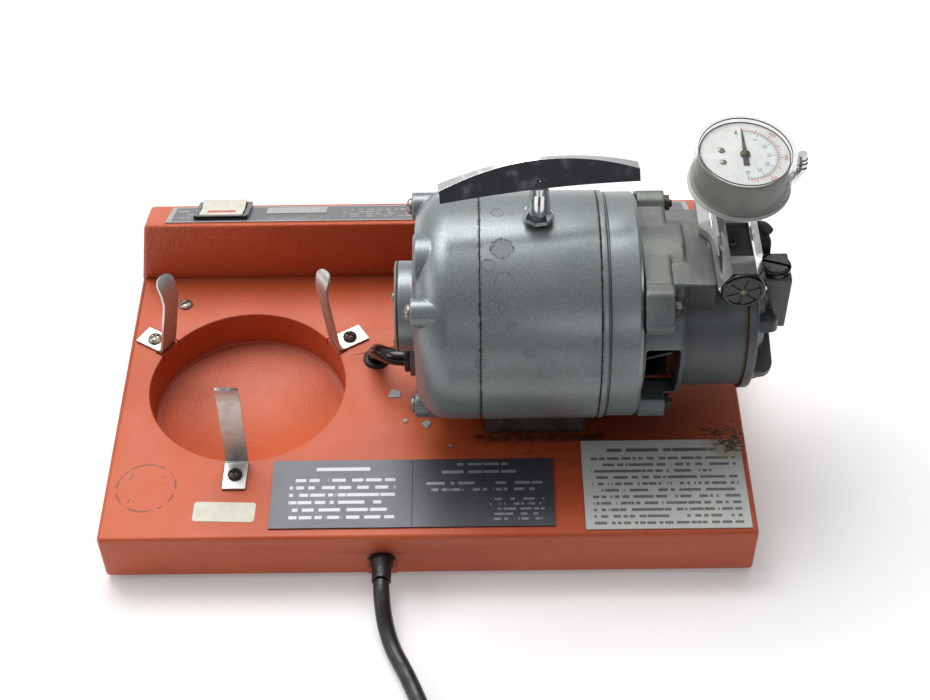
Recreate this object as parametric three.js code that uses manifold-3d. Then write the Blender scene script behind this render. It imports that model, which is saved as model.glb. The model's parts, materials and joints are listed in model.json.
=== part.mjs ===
// Suction pump for a hospital ward: a sheet-metal base with a bottle well and a rear console, an electric
// motor with a rotary-vane pump on its shaft, a vacuum regulator with a gauge, a carrying handle and a mains
// lead. Millimetres, +Z up, +X to the right, the lead leaves towards -Y.
import * as THREE from "three";
import { mergeVertices } from "three/addons/utils/BufferGeometryUtils.js";
import Module from "manifold-3d";

const wasm = await Module();
wasm.setup();

// ---- driving dimensions ----
const GAP = 0.3;
const GLUE = 0.2;
const MOTOR_SIDES = 32;
const PUMP_SIDES = 30;
const GAUGE_SIDES = 28;
const BASE = {
  width: 380,
  depth: 253,
  bottom: 3,
  deck: 39.4,
  consoleDepth: 41.3,
  consoleHeight: 87,
  rearHeight: 67,
  taper: 8,
  wall: 2.5,
  corner: 5,
  bevel: 2,
};
const WELL = { x: -112.6, y: -9, radius: 60.5, floor: 13, chamfer: 1.5, sides: 44 };
const CLIP = { width: 13.6, thickness: 1.5, inner: 61.5, outer: 82.5, screw: 72.5, height: 66 };
// Each clip's place round the well, and how far its leaf has been bent inwards.
const CLIPS = {
  left: { angle: 148.5, lean: 9.5 },
  right: { angle: 31.3, lean: 4.5 },
  front: { angle: 269.1, lean: 4.5 },
};
const FOOT = { x: 168, y: 106, radius: 10, tread: 8 };
const DECK_SCREW = { x: -158.7, y: 60.8 };
const SCREW_HOLE = 2.2;
// The name plates on the deck, [from, to] along x and y.
const PLATE_THICKNESS = 0.8;
const PLATES = {
  plate_left: { x: [-91.5, -9.2], y: [-120.3, -70.8], finish: "plate" },
  plate_right: { x: [-8.8, 73.5], y: [-120.3, -70.8], finish: "plate" },
  instruction_plate: { x: [91, 186.2], y: [-123.2, -58], finish: "paper" },
};
const SWITCH = {
  x: -134,
  along: 24.5,
  width: 28,
  length: 26,
  throw: 20,
  flange: [35, 33],
  hole: [30.4, 29.2],
};
const MOTOR = {
  y: -13.2,
  z: 112,
  radius: 66.5,
  wall: 3.5,
  left: -5.5,
  seamLeft: 31.5,
  seamRight: 98.5,
  right: 121.5,
  neck: 26.5,
};
const BOLT = { circle: 58, radius: 2.2, clearance: 2.7, first: 48, count: 4 };
const SHAFT = { radius: 6.3, bore: 6.7, left: -13.5, right: 185 };
const PUMP = { left: 122, body: 144, right: 180, radius: 48, bore: 38, offset: 4, rotor: 33, pad: 49 };
const COVER = { radius: 50, left: 181.4, flange: 187, ribTop: 198.5 };
const RIB_ANGLES = [26, 74, 152, 197, 242, 288, 333];
const PORT = { x: 198.3, y: -9.6, top: 37, radius: 9, slot: 71 };
const ARM = { x: 175, z: 163.4, flats: 23.2, front: -53.6, rear: 23.5 };
const KNOB = { radius: 12.2, face: -56.2, back: -53.9, hub: 7.6, hubEnd: -48 };
const GAUGE = {
  x: 175.4,
  y: 2,
  z: 175,
  tilt: 5,
  lean: 1.7,
  caseRadius: 25.2,
  lensRadius: 28.1,
  floor: 18.5,
  top: 43,
};
const NEEDLE = { dialTop: 39.8, reach: 18.5, tail: 8 };
const HANDLE = {
  x: 64.6,
  y: -12.8,
  yaw: 8.7,
  length: 111,
  width: 9,
  ends: 203,
  tip: 6.6,
  arch: 2.6,
  middle: 17.7,
};
const CORD = { radius: 4.75, exitX: -27, exitZ: 17 };
const COIL = { x: 61.25, y: -300.5, middle: 52.5, across: 2, high: 4 };
const PLUG = { radius: 19, z: 19.3, start: 154, relief: 28, body: 40, prongs: 17 };
// The cord's stretch from the housing to the coil, [x, y, z].
const CORD_ROUTE = [
  [-27, -142.6, 17],
  [-26.9, -146, 16.9],
  [-26.3, -153, 14.8],
  [-25, -162, 10.4],
  [-22.7, -171, 6.7],
  [-19, -181, 4.95],
  [-13.5, -192.5, 4.85],
  [-7.6, -206, 4.85],
  [-2, -221, 4.85],
  [2.2, -238, 4.85],
  [4, -256, 4.85],
  [4, -265.2, 4.85],
];
// The motor's own cable from its gland to the deck, [x, y, z].
const MOTOR_CABLE = [
  [-5, -13.2, 67],
  [-10, -13.2, 67],
  [-15, -13.2, 67],
  [-22, -11, 66],
  [-28.5, -3.5, 61],
  [-32, 5, 53],
  [-33, 11, 43],
  [-33, 12.5, 32],
];
const NIPPLE = [
  [189.2, 18, 166],
  [193, 18.6, 166.5],
  [201, 21, 169],
  [209, 23.2, 173],
  [214.6, 24, 180],
  [215.4, 24, 187],
  [214.6, 24, 193],
];
const NIPPLE_RADIUS = 3.2;

const BASE_FRONT = -BASE.depth / 2;
const BASE_REAR = BASE.depth / 2;
const CONSOLE_FRONT = BASE_REAR - BASE.consoleDepth;
const SLOPE = Math.atan2(BASE.consoleHeight - BASE.rearHeight, BASE.consoleDepth);
const TAPER = Math.atan2(BASE.taper, BASE.consoleHeight - BASE.deck);
const ROOT_SHIFT = -(NIPPLE[5][0] + NIPPLE_RADIUS - BASE.width / 2) / 2;
// Turns local x, y, z into world Y, Z, X, so a piece made about local z lies along the motor's shaft.
const ALONG_X = new THREE.Matrix4().makeBasis(
  new THREE.Vector3(0, 1, 0),
  new THREE.Vector3(0, 0, 1),
  new THREE.Vector3(1, 0, 0),
);
const degrees = THREE.MathUtils.degToRad;

// ---- materials ----
function finish(color, roughness, metalness) {
  return new THREE.MeshStandardMaterial({ color, roughness, metalness });
}
const FINISH = {
  orange: finish(0xc85a32, 0.55, 0.1),
  silver: finish(0x8c9498, 0.45, 0.6),
  casting: finish(0x5f666a, 0.6, 0.5),
  chrome: finish(0xd8dadc, 0.12, 1),
  steel: finish(0xa9a8a4, 0.35, 0.9),
  brass: finish(0xb08d4a, 0.35, 0.9),
  copper: finish(0x9c5a33, 0.5, 0.7),
  blackPlastic: finish(0x16171a, 0.25, 0),
  whitePlastic: finish(0xdfe3dc, 0.45, 0),
  plate: finish(0x5c5e66, 0.4, 0.6),
  paper: finish(0xe9ebe6, 0.7, 0),
  rubber: finish(0x1d1e20, 0.6, 0),
  carbon: finish(0x2a2a2c, 0.7, 0),
  gasket: finish(0x4b3a26, 0.9, 0),
  clear: finish(0xe4ece9, 0.08, 0),
};

// ---- geometry helpers ----
function solid(geometry) {
  const bare = geometry.index ? geometry.toNonIndexed() : geometry.clone();
  bare.deleteAttribute("normal");
  bare.deleteAttribute("uv");
  const merged = mergeVertices(bare, 1e-4);
  const vertProperties = merged.attributes.position.array;
  const triVerts = new Uint32Array(merged.index.array);
  return new wasm.Manifold(new wasm.Mesh({ numProp: 3, vertProperties, triVerts }));
}

function geometryOf(body) {
  const { vertProperties, triVerts } = body.getMesh();
  const geometry = new THREE.BufferGeometry();
  geometry.setAttribute("position", new THREE.BufferAttribute(vertProperties, 3));
  geometry.setIndex(new THREE.BufferAttribute(triVerts, 1));
  geometry.computeVertexNormals();
  return geometry;
}

function join(...geometries) {
  const bodies = geometries.map(solid);
  return geometryOf(bodies.reduce((whole, body) => whole.add(body)));
}

function cut(geometry, ...tools) {
  return geometryOf(tools.map(solid).reduce((rest, tool) => rest.subtract(tool), solid(geometry)));
}

function common(geometry, other) {
  return geometryOf(solid(geometry).intersect(solid(other)));
}

// A box between [low, high] pairs along each axis.
function box(x, y, z) {
  const geometry = new THREE.BoxGeometry(x[1] - x[0], y[1] - y[0], z[1] - z[0]);
  return geometry.translate((x[0] + x[1]) / 2, (y[0] + y[1]) / 2, (z[0] + z[1]) / 2);
}

// A profile of [radius, height] points turned about Z.
function turned(profile, sides = 32) {
  const points = profile.map(([radius, height]) => new THREE.Vector2(radius, height));
  return new THREE.LatheGeometry(points, sides).rotateX(Math.PI / 2);
}

function rod(radius, from, to, sides = 24) {
  return turned([[0, from], [radius, from], [radius, to], [0, to]], sides);
}

function pipe(outer, inner, from, to, sides = 32) {
  return turned([[inner, from], [outer, from], [outer, to], [inner, to], [inner, from]], sides);
}

// Points on a circle arc from one angle to another, in degrees.
function arc(x, y, radius, from, to, steps) {
  return Array.from({ length: steps + 1 }, (_, i) => {
    const angle = degrees(from + ((to - from) * i) / steps);
    return [x + radius * Math.cos(angle), y + radius * Math.sin(angle)];
  });
}

// A closed outline whose corners are rounded, each point being [x, y, corner radius].
function outline(corners) {
  const points = corners.map(([x, y]) => new THREE.Vector2(x, y));
  const shape = new THREE.Shape();
  corners.forEach(([, , radius = 0], i) => {
    const here = points[i];
    const before = points[(i + points.length - 1) % points.length].clone().sub(here);
    const after = points[(i + 1) % points.length].clone().sub(here);
    const start = here.clone().add(before.setLength(radius));
    const end = here.clone().add(after.setLength(radius));
    if (i === 0) shape.moveTo(start.x, start.y);
    else shape.lineTo(start.x, start.y);
    if (radius > 0) shape.quadraticCurveTo(here.x, here.y, end.x, end.y);
  });
  shape.closePath();
  return shape;
}

function extruded(shape, from, to, bevel = 0, curveSegments = 3) {
  return new THREE.ExtrudeGeometry(shape, {
    depth: to - from - 2 * bevel,
    bevelEnabled: bevel > 0,
    bevelThickness: bevel,
    bevelSize: bevel,
    bevelOffset: -bevel,
    bevelSegments: 2,
    curveSegments,
  }).translate(0, 0, from + bevel);
}

// A strip of even thickness along a line of [x, y] points, as a closed outline.
function ribbon(line, thickness) {
  const side = (sign) =>
    line.map(([x, y], i) => {
      const [ax, ay] = line[Math.max(i - 1, 0)];
      const [bx, by] = line[Math.min(i + 1, line.length - 1)];
      const length = Math.hypot(bx - ax, by - ay);
      const reach = (sign * thickness) / 2 / length;
      return new THREE.Vector2(x - (by - ay) * reach, y + (bx - ax) * reach);
    });
  return new THREE.Shape([...side(-1), ...side(1).reverse()]);
}

function tube(points, radius, sides, steps) {
  const path = new THREE.CatmullRomCurve3(points.map((p) => new THREE.Vector3(...p)), false, "centripetal");
  const circle = new THREE.Shape(
    arc(0, 0, radius, 0, 360 - 360 / sides, sides - 1).map(([x, y]) => new THREE.Vector2(x, y)),
  );
  return new THREE.ExtrudeGeometry(circle, { steps, extrudePath: path });
}

function polar(radius, angle) {
  return [radius * Math.cos(degrees(angle)), radius * Math.sin(degrees(angle))];
}

function mesh(name, geometry, material) {
  const made = new THREE.Mesh(geometry, material);
  made.name = name;
  return made;
}

function panScrew(headRadius, headHeight, shankRadius, length) {
  return turned(
    [
      [0, -length],
      [shankRadius, -length],
      [shankRadius, 0],
      [headRadius, 0],
      [headRadius, headHeight * 0.45],
      [headRadius * 0.7, headHeight * 0.9],
      [0, headHeight],
    ],
    8,
  );
}

// ---- base: housing, bottom plate, feet ----
// The housing's solid form, drawn in by inset on every side and open downwards when it is inset.
function housingForm(inset) {
  const lower = inset > 0 ? -5 : BASE.bottom;
  const corner = inset > 0 ? 0 : BASE.corner;
  const shape = outline([
    [BASE_FRONT + inset, lower],
    [BASE_REAR - inset, lower],
    [BASE_REAR - inset, BASE.rearHeight - inset * 0.65, corner],
    [CONSOLE_FRONT + inset, BASE.consoleHeight - inset * 1.6, corner],
    [CONSOLE_FRONT + inset, BASE.deck - inset, corner / 2],
    [BASE_FRONT + inset, BASE.deck - inset, corner],
  ]);
  const half = BASE.width / 2 - inset;
  const form = extruded(shape, -half, half, inset > 0 ? 0 : BASE.bevel).applyMatrix4(ALONG_X);
  return cut(form, consoleEnd(1, half), consoleEnd(-1, half));
}

// The wedge that slants one end of the console inwards.
function consoleEnd(side, half) {
  const reach = 60;
  const across = side > 0 ? [0, reach] : [-reach, 0];
  const wedge = box(across, [BASE_FRONT - 10, BASE_REAR + 10], [0, reach]);
  return wedge.rotateY(-side * TAPER).translate(side * half, 0, BASE.deck);
}

function wellHole() {
  const { radius, chamfer } = WELL;
  return turned(
    [
      [0, BASE.deck - 10],
      [radius, BASE.deck - 10],
      [radius, BASE.deck - chamfer],
      [radius + chamfer, BASE.deck],
      [radius + chamfer, BASE.deck + 10],
      [0, BASE.deck + 10],
    ],
    WELL.sides,
  ).translate(WELL.x, WELL.y, 0);
}

// The pan that hangs under the deck's round hole and holds the bottle.
function wellPan() {
  const { radius, floor } = WELL;
  const under = floor - BASE.wall;
  const brim = BASE.deck - BASE.wall - GAP;
  return turned(
    [
      [0, under],
      [radius + BASE.wall, under],
      [radius + BASE.wall, brim],
      [radius, brim],
      [radius, floor + 3],
      [radius - 2.5, floor],
      [0, floor],
    ],
    WELL.sides,
  ).translate(WELL.x, WELL.y, 0);
}

function cordOpening(radius) {
  const along = [BASE_FRONT - 5, BASE_FRONT + 5];
  const round = rod(radius, along[0], along[1], 20).rotateX(-Math.PI / 2);
  return round.translate(CORD.exitX, 0, CORD.exitZ);
}

function baseShell() {
  const slot = box([-36, -18.6], [BASE_FRONT - 5, BASE_FRONT + 5], [-5, CORD.exitZ]);
  const cableHole = rod(7, 20, 50, 16).translate(MOTOR_CABLE[6][0], MOTOR_CABLE[6][1], 0);
  const switchHole = switchOpening(10).rotateX(-SLOPE);
  switchHole.translate(SWITCH.x, ...onConsole(SWITCH.along));
  const screwHoles = [...clipPlaces(), [DECK_SCREW.x, DECK_SCREW.y]].map(([x, y]) =>
    rod(SCREW_HOLE, 30, 50, 10).translate(x, y, 0),
  );
  const openings = [wellHole(), slot, cordOpening(6.3), cableHole, switchHole, ...screwHoles];
  return cut(housingForm(0), housingForm(BASE.wall), ...openings);
}

// The rectangular hole for the switch, this deep to both sides of the console's face.
function switchOpening(depth) {
  const [width, length] = SWITCH.hole;
  return box([-width / 2, width / 2], [-length / 2, length / 2], [-depth, depth]);
}

// World y and z of a place on the console's slope, measured down it from its front edge.
function onConsole(along) {
  return [CONSOLE_FRONT + along * Math.cos(SLOPE), BASE.consoleHeight - along * Math.sin(SLOPE)];
}

function bottomPlate() {
  const edge = BASE.wall + GAP;
  const x = [-BASE.width / 2 + edge, BASE.width / 2 - edge];
  const plate = box(x, [BASE_FRONT + edge, BASE_REAR - edge], [BASE.bottom + GAP, BASE.bottom + 1.8]);
  const foot = box([-35.6, -19], [BASE_FRONT + 0.4, BASE_FRONT + 5], [BASE.bottom + GAP, BASE.bottom + 1.8]);
  const tab = box([-35.6, -19], [BASE_FRONT + 0.4, BASE_FRONT + 2.2], [BASE.bottom + GAP, CORD.exitZ - GAP]);
  return cut(join(plate, foot, tab), cordOpening(6.3));
}

function buildBase() {
  const group = new THREE.Group();
  group.add(mesh("base_shell", baseShell(), FINISH.orange));
  group.add(mesh("well_pan", wellPan(), FINISH.orange));
  group.add(mesh("bottom_plate", bottomPlate(), FINISH.orange));
  const pad = turned([[0, 0], [FOOT.tread, 0], [FOOT.radius, BASE.bottom], [0, BASE.bottom]], 16);
  const corners = [[-1, -1], [1, -1], [-1, 1], [1, 1]];
  corners.forEach(([right, back], i) => {
    const foot = mesh("foot_" + (i + 1), pad, FINISH.rubber);
    foot.position.set(right * FOOT.x, back * FOOT.y, 0);
    group.add(foot);
  });
  const screw = mesh("deck_screw", panScrew(4.4, 2.2, 1.8, 5), FINISH.steel);
  screw.position.set(DECK_SCREW.x, DECK_SCREW.y, BASE.deck + GAP);
  group.add(screw);
  return group;
}

// ---- name plates on the deck ----
function buildPlates() {
  const group = new THREE.Group();
  const z = [BASE.deck + GLUE, BASE.deck + GLUE + PLATE_THICKNESS];
  for (const [name, { x, y, finish }] of Object.entries(PLATES)) {
    group.add(mesh(name, box(x, y, z), FINISH[finish]));
  }
  return group;
}

// ---- bottle clips around the well ----
function clipPlaces() {
  return Object.values(CLIPS).map(({ angle }) => {
    const [x, y] = polar(CLIP.screw, angle);
    return [WELL.x + x, WELL.y + y];
  });
}

// A spring leaf in its own frame: x runs away from the well, z up from the deck.
function clipLeaf(lean) {
  const { inner, outer, height, thickness, width } = CLIP;
  const line = [
    [outer, thickness / 2],
    [inner + 4, thickness / 2],
    [inner + 1.2, thickness / 2 + 0.5],
    [inner, thickness / 2 + 2.5],
    [inner - lean * 0.45, height * 0.35],
    [inner - lean, height * 0.72],
    [inner - lean, height * 0.8],
    [inner - lean + 1.4, height * 0.88],
    [inner - lean + 4.2, height * 0.96],
    [inner - lean + 7, height],
  ];
  const leaf = extruded(ribbon(line, thickness), -width / 2, width / 2).rotateX(Math.PI / 2);
  return cut(leaf, rod(SCREW_HOLE, -5, 5, 10).translate(CLIP.screw, 0, 0));
}

function buildClips() {
  const group = new THREE.Group();
  group.position.set(WELL.x, WELL.y, BASE.deck + GLUE);
  for (const [name, { angle, lean }] of Object.entries(CLIPS)) {
    const clip = new THREE.Group();
    clip.rotation.z = degrees(angle);
    clip.add(mesh("clip_" + name, clipLeaf(lean), FINISH.chrome));
    const screw = mesh("clip_screw_" + name, panScrew(4.3, 2.8, 1.8, 7), FINISH.steel);
    screw.position.set(CLIP.screw, 0, CLIP.thickness + GAP);
    clip.add(screw);
    group.add(clip);
  }
  return group;
}

// ---- console: name strip and rocker switch ----
// The switch's moulded housing: a flange on the name strip and a box with terminals behind it.
function switchHousing() {
  const [x, y] = SWITCH.flange.map((size) => size / 2);
  const flange = extruded(outline([[-x, -y, 2], [x, -y, 2], [x, y, 2], [-x, y, 2]]), 1.2, 2.8);
  const sleeve = box([-14.9, 14.9], [-14.3, 14.3], [-12, 2]);
  const contacts = box([-12, 12], [-2, 14.3], [-23, -11.5]);
  const opening = box([-14.35, 14.35], [-13.75, 13.75], [-11, 10]);
  const terminals = [1, 6, 11].map((row) => box([-3, 3], [row - 0.5, row + 0.5], [-31, -22]));
  return cut(join(flange, sleeve, contacts, ...terminals), opening);
}

// The rocker's side outline about its pivot: two raised ends and a shallow valley between them.
function switchRocker() {
  const half = SWITCH.length / 2;
  const shape = outline([
    [-half + 2.6, -5],
    [half - 2.6, -5],
    [half, 5.6, 0.6],
    [half - 1.5, 7, 0.6],
    [1, 4.6, 1],
    [-1, 4.6, 1],
    [-half + 1.5, 7, 0.6],
    [-half, 5.6, 0.6],
  ]);
  const rocker = extruded(shape, -SWITCH.width / 2, SWITCH.width / 2);
  return rocker.applyMatrix4(ALONG_X).rotateX(degrees(SWITCH.throw / 2));
}

function buildConsole() {
  const group = new THREE.Group();
  group.position.set(0, CONSOLE_FRONT, BASE.consoleHeight);
  group.rotation.x = -SLOPE;
  const opening = switchOpening(5).translate(SWITCH.x, SWITCH.along, 0);
  group.add(mesh("console_plate", cut(box([-169, 168.5], [5, 42], [0.2, 0.9]), opening), FINISH.plate));
  const unit = new THREE.Group();
  unit.position.set(SWITCH.x, SWITCH.along, 0);
  unit.add(mesh("switch_housing", switchHousing(), FINISH.blackPlastic));
  unit.add(mesh("switch_rocker", switchRocker(), FINISH.whitePlastic));
  group.add(unit);
  return group;
}

// ---- motor, all about local z, which is the shaft ----
function aroundBolts(make) {
  return Array.from({ length: BOLT.count }, (_, i) => {
    const angle = BOLT.first + (360 / BOLT.count) * i;
    return make(...polar(BOLT.circle, angle), angle);
  });
}

function boltHoles(from, to) {
  return aroundBolts((x, y) => rod(BOLT.clearance, from, to, 8).translate(x, y, 0));
}

function endBell() {
  const { radius, wall, left, seamLeft, neck } = MOTOR;
  const round = 20;
  const bell = turned(
    [
      [16, left - 10],
      [neck, left - 10],
      [neck, left],
      ...arc(radius - round, left + round, round, -90, 0, 3),
      [radius, seamLeft - GAP],
      [radius - wall, seamLeft - GAP],
      ...arc(radius - round, left + round, round - wall, 0, -90, 1),
      [16, left + wall],
      [16, left - 10],
    ],
    MOTOR_SIDES,
  );
  const bosses = aroundBolts((x, y) => rod(7.6, left - 1.5, seamLeft - 6, 12).translate(x, y, 0));
  const lobe = rod(17, left, left + 20, 20).translate(...polar(47, 104), 0);
  const gland = rod(5.6, left - 5, left + 10, 12).translate(...polar(45, 270), 0);
  return cut(join(bell, ...bosses, lobe), ...boltHoles(left - 10, seamLeft + 5), gland);
}

function bearingCover() {
  const { left, neck } = MOTOR;
  return turned(
    [
      [0, left - 12],
      [neck - 1, left - 12],
      [neck, left - 11.4],
      [neck, left - 10.3],
      [0, left - 10.3],
    ],
    24,
  );
}

function driveBell() {
  const { radius, seamRight, right } = MOTOR;
  const bell = turned(
    [
      [16, 107],
      [20, 107],
      [20, 111],
      [62, 111],
      [62, seamRight + GAP],
      [radius, seamRight + GAP],
      [radius, seamRight + 3.5],
      [radius - 2, seamRight + 4],
      [radius - 2, seamRight + 4.8],
      [radius - 1.1, seamRight + 5.2],
      [radius - 1.1, right - 2],
      [radius - 3, right],
      [57, right],
      [57, 116.5],
      [16, 116.5],
      [16, 107],
    ],
    MOTOR_SIDES,
  );
  return cut(bell, ...boltHoles(90, 130));
}

// Laminated core with the end turns of its winding.
function stator() {
  const core = turned(
    [
      [33.4, 40],
      [38, 40],
      [38, 28],
      [52, 28],
      [52, 40],
      [62.5, 40],
      [62.5, 90],
      [52, 90],
      [52, 103],
      [38, 103],
      [38, 90],
      [33.4, 90],
      [33.4, 40],
    ],
    24,
  );
  return cut(core, ...aroundBolts((x, y) => rod(3.2, 20, 110, 8).translate(x, y, 0)));
}

function tieBolt() {
  const head = panScrew(4.6, 3, BOLT.radius, 1).rotateX(Math.PI).translate(0, 0, MOTOR.left - 1.8);
  const bar = rod(BOLT.radius, MOTOR.left - 2, 144, 8);
  const nut = rod(4.6, 138.8, 142.3, 6);
  return join(head, bar, nut);
}

// The cast cradle under the stator, from the deck up to the round of the motor.
function motorFoot() {
  const floor = BASE.deck + GAP - MOTOR.z;
  const cradle = box([-38, 38], [floor, floor + 18], [34, 94]);
  const lugs = box([-42, 42], [floor, floor + 5], [40, 88]);
  return cut(join(cradle, lugs), rod(MOTOR.radius + GAP, 0, 120, MOTOR_SIDES));
}

function bearing(from, to) {
  return pipe(15.6, SHAFT.bore, from, to, 20);
}

function rotorCore() {
  return turned(
    [
      [SHAFT.bore, 38],
      [26, 38],
      [30, 36],
      [32.2, 42],
      [32.2, 88],
      [30, 94],
      [26, 92],
      [SHAFT.bore, 92],
      [SHAFT.bore, 38],
    ],
    20,
  );
}

// Hub, back plate and slanted blades of the cooling fan.
function coolingFan() {
  const hub = pipe(11, SHAFT.bore, 123.5, 141, 14);
  const back = pipe(42, SHAFT.bore, 123.5, 125, 20);
  const blades = Array.from({ length: 8 }, (_, i) => {
    const blade = box([9, 42], [-0.9, 0.9], [-8, 8]).rotateX(degrees(18));
    return blade.translate(0, 0, 132.5).rotateZ(degrees(45 * i));
  });
  return join(hub, back, ...blades);
}

function buildMotor() {
  const group = new THREE.Group();
  group.position.set(0, MOTOR.y, MOTOR.z);
  group.quaternion.setFromRotationMatrix(ALONG_X);
  const { radius, wall, left, seamLeft, seamRight } = MOTOR;
  const jacket = pipe(radius, radius - wall, seamLeft + GAP, seamRight - GAP, MOTOR_SIDES);
  group.add(mesh("motor_foot", motorFoot(), FINISH.silver));
  group.add(mesh("end_bell", endBell(), FINISH.silver));
  group.add(mesh("bearing_cover", bearingCover(), FINISH.silver));
  group.add(mesh("stator_shell", jacket, FINISH.silver));
  group.add(mesh("drive_bell", driveBell(), FINISH.silver));
  group.add(mesh("stator", stator(), FINISH.copper));
  group.add(mesh("bearing_left", bearing(left - 9.5, left + 2), FINISH.steel));
  group.add(mesh("bearing_right", bearing(107.3, 116.2), FINISH.steel));
  aroundBolts((x, y) => [x, y]).forEach(([x, y], i) => {
    const bolt = mesh("tie_bolt_" + (i + 1), tieBolt(), FINISH.steel);
    bolt.position.set(x, y, 0);
    group.add(bolt);
  });
  group.add(mesh("rotor_shaft", rod(SHAFT.radius, SHAFT.left, SHAFT.right, 14), FINISH.steel));
  group.add(mesh("rotor_core", rotorCore(), FINISH.steel));
  group.add(mesh("cooling_fan", coolingFan(), FINISH.blackPlastic));
  return group;
}

// ---- pump, about the same shaft ----
// The pump's casting: an open lantern with four ears, the cylinder and a flat pad on top.
function pumpHousing() {
  const { left, body, right, radius, bore, offset, pad } = PUMP;
  const lantern = pipe(52, 46.5, left, body + 2, PUMP_SIDES);
  const cylinder = rod(radius, body, right, PUMP_SIDES);
  const block = extruded(outline([[-34.3, 10], [27.7, 10], [27.7, pad, 1], [-34.3, pad, 1]]), 139, 162);
  const reach = rod(MOTOR.radius - 1.1, left, 138.5, PUMP_SIDES);
  const ears = aroundBolts((x, y, angle) => {
    const ear = box([46.5, 70], [-13.5, 13.5], [left, 138.3]);
    return ear.rotateZ(degrees(angle));
  });
  const whole = join(lantern, cylinder, block, common(join(...ears, lantern), reach));
  const windows = [-1, 1].map((side) => {
    const across = side > 0 ? [30, 70] : [-70, -30];
    return box(across, [-32, 13], [left + 2.5, body - 0.5]);
  });
  const outlet = box([-16, 16], [-70, -30], [left + 2.5, body - 0.5]);
  const chamber = rod(bore, body + 8, right + 5, PUMP_SIDES).translate(0, offset, 0);
  const shaftHole = rod(7.2, body - 5, right, 14);
  const fanRoom = rod(46.5, left - 5, body, PUMP_SIDES);
  return cut(whole, fanRoom, ...windows, outlet, chamber, shaftHole, ...boltHoles(110, 150));
}

function endCover() {
  const { radius, left, flange, ribTop } = COVER;
  const dome = turned(
    [
      [0, left],
      [radius, left],
      [radius, flange - 1.5],
      [radius - 1.5, flange],
      [36, flange + 1],
      [30, ribTop - 5],
      [0, ribTop - 4],
    ],
    PUMP_SIDES,
  );
  const side = outline([[12, flange - 3], [47, flange - 3], [47, ribTop, 11], [12, ribTop]]);
  const fins = RIB_ANGLES.map((angle) =>
    extruded(side, -3.5, 3.5).rotateX(Math.PI / 2).rotateZ(degrees(angle)),
  );
  const block = box([-19.3, 3.2], [-1, PORT.top], [flange - 3, 207.4]);
  const port = rod(6.6, PORT.top - 12, PORT.top + 5, 14).rotateX(-Math.PI / 2);
  port.translate(PORT.y, 0, PORT.x);
  return cut(join(dome, ...fins, block), rod(8, left - 5, flange, 14), port);
}

// A slotted plug whose head stands on the port, made about its own upright z.
function portPlug() {
  const head = turned([[0, 0], [PORT.radius, 0], [PORT.radius, 2.6], [PORT.radius - 1.2, 3.8], [0, 3.8]], 20);
  const slot = box([-20, 20], [-1, 1], [1.9, 6]).rotateZ(degrees(PORT.slot));
  return cut(join(head, rod(6, -9, 1, 14)), slot);
}

function vaneRotor() {
  const { body, right, rotor } = PUMP;
  const core = pipe(rotor, SHAFT.bore, body + 8.5, right - 0.3, 24);
  const slots = [0, 90, 180, 270].map((angle) =>
    box([14, 40], [-1.5, 1.5], [body, right + 5]).rotateZ(degrees(angle)),
  );
  return cut(core, ...slots);
}

function buildPump() {
  const group = new THREE.Group();
  group.position.set(0, MOTOR.y, MOTOR.z);
  group.quaternion.setFromRotationMatrix(ALONG_X);
  const { body, right, rotor } = PUMP;
  group.add(mesh("pump_housing", pumpHousing(), FINISH.casting));
  const gasket = pipe(PUMP.radius + 0.8, 42.8, right + GAP, right + 1.1, PUMP_SIDES);
  group.add(mesh("pump_gasket", gasket, FINISH.gasket));
  group.add(mesh("pump_end_cover", endCover(), FINISH.casting));
  group.add(mesh("vane_rotor", vaneRotor(), FINISH.steel));
  for (let i = 0; i < 4; i++) {
    const blade = box([14.8, rotor - 0.5], [-1.2, 1.2], [body + 9, right - 0.5]);
    const vane = mesh("pump_vane_" + (i + 1), blade, FINISH.carbon);
    vane.rotation.z = degrees(90 * i);
    group.add(vane);
  }
  const plug = mesh("port_plug", portPlug(), FINISH.chrome);
  plug.rotation.x = -Math.PI / 2;
  plug.position.set(PORT.y, PORT.top + GAP, PORT.x);
  group.add(plug);
  return group;
}

// ---- vacuum regulator ----
function hexBar(flats, from, to) {
  const bar = rod(flats / Math.sqrt(3), from, to, 6).rotateZ(Math.PI / 6);
  return bar.rotateX(-Math.PI / 2);
}

// The hexagonal arm with a wide foot that is shaped to sit on the round of the pump.
function regulatorBody() {
  const { x, z, flats, front, rear } = ARM;
  const bar = hexBar(flats, front, rear);
  const wing = new THREE.Shape();
  wing.moveTo(-6, -34);
  wing.quadraticCurveTo(-8.5, -20, -16.5, -14);
  wing.lineTo(-16.5, rear - 4);
  wing.lineTo(0, rear - 4);
  wing.lineTo(0, -34);
  wing.closePath();
  const shoulder = extruded(wing, -1.9, 5, 0, 4);
  const foot = box([-12.4, 13.4], [-30, rear - 4], [-11.6, 4]);
  const recess = box([-6.3, 6.3], [-39.5, -13], [8.4, 20]);
  const valve = rod(3.6, front - 5, -22, 16).rotateX(-Math.PI / 2);
  const hubRoom = rod(KNOB.hub + 0.5, front - 5, KNOB.hubEnd + 1, 20).rotateX(-Math.PI / 2);
  const stem = rod(5.6, 4, 20, 16).translate(GAUGE.x - x, GAUGE.y, 0);
  const along = ALONG_X;
  const pumpRound = rod(PUMP.radius + 0.6, 150, PUMP.right + 0.4, PUMP_SIDES).applyMatrix4(along);
  const coverRound = rod(COVER.radius + GAP, PUMP.right, 250, PUMP_SIDES).applyMatrix4(along);
  const rounds = [pumpRound, coverRound].map((g) => g.translate(-x, MOTOR.y, MOTOR.z - z));
  return cut(join(bar, shoulder, foot), recess, valve, hubRoom, stem, ...rounds);
}

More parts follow.
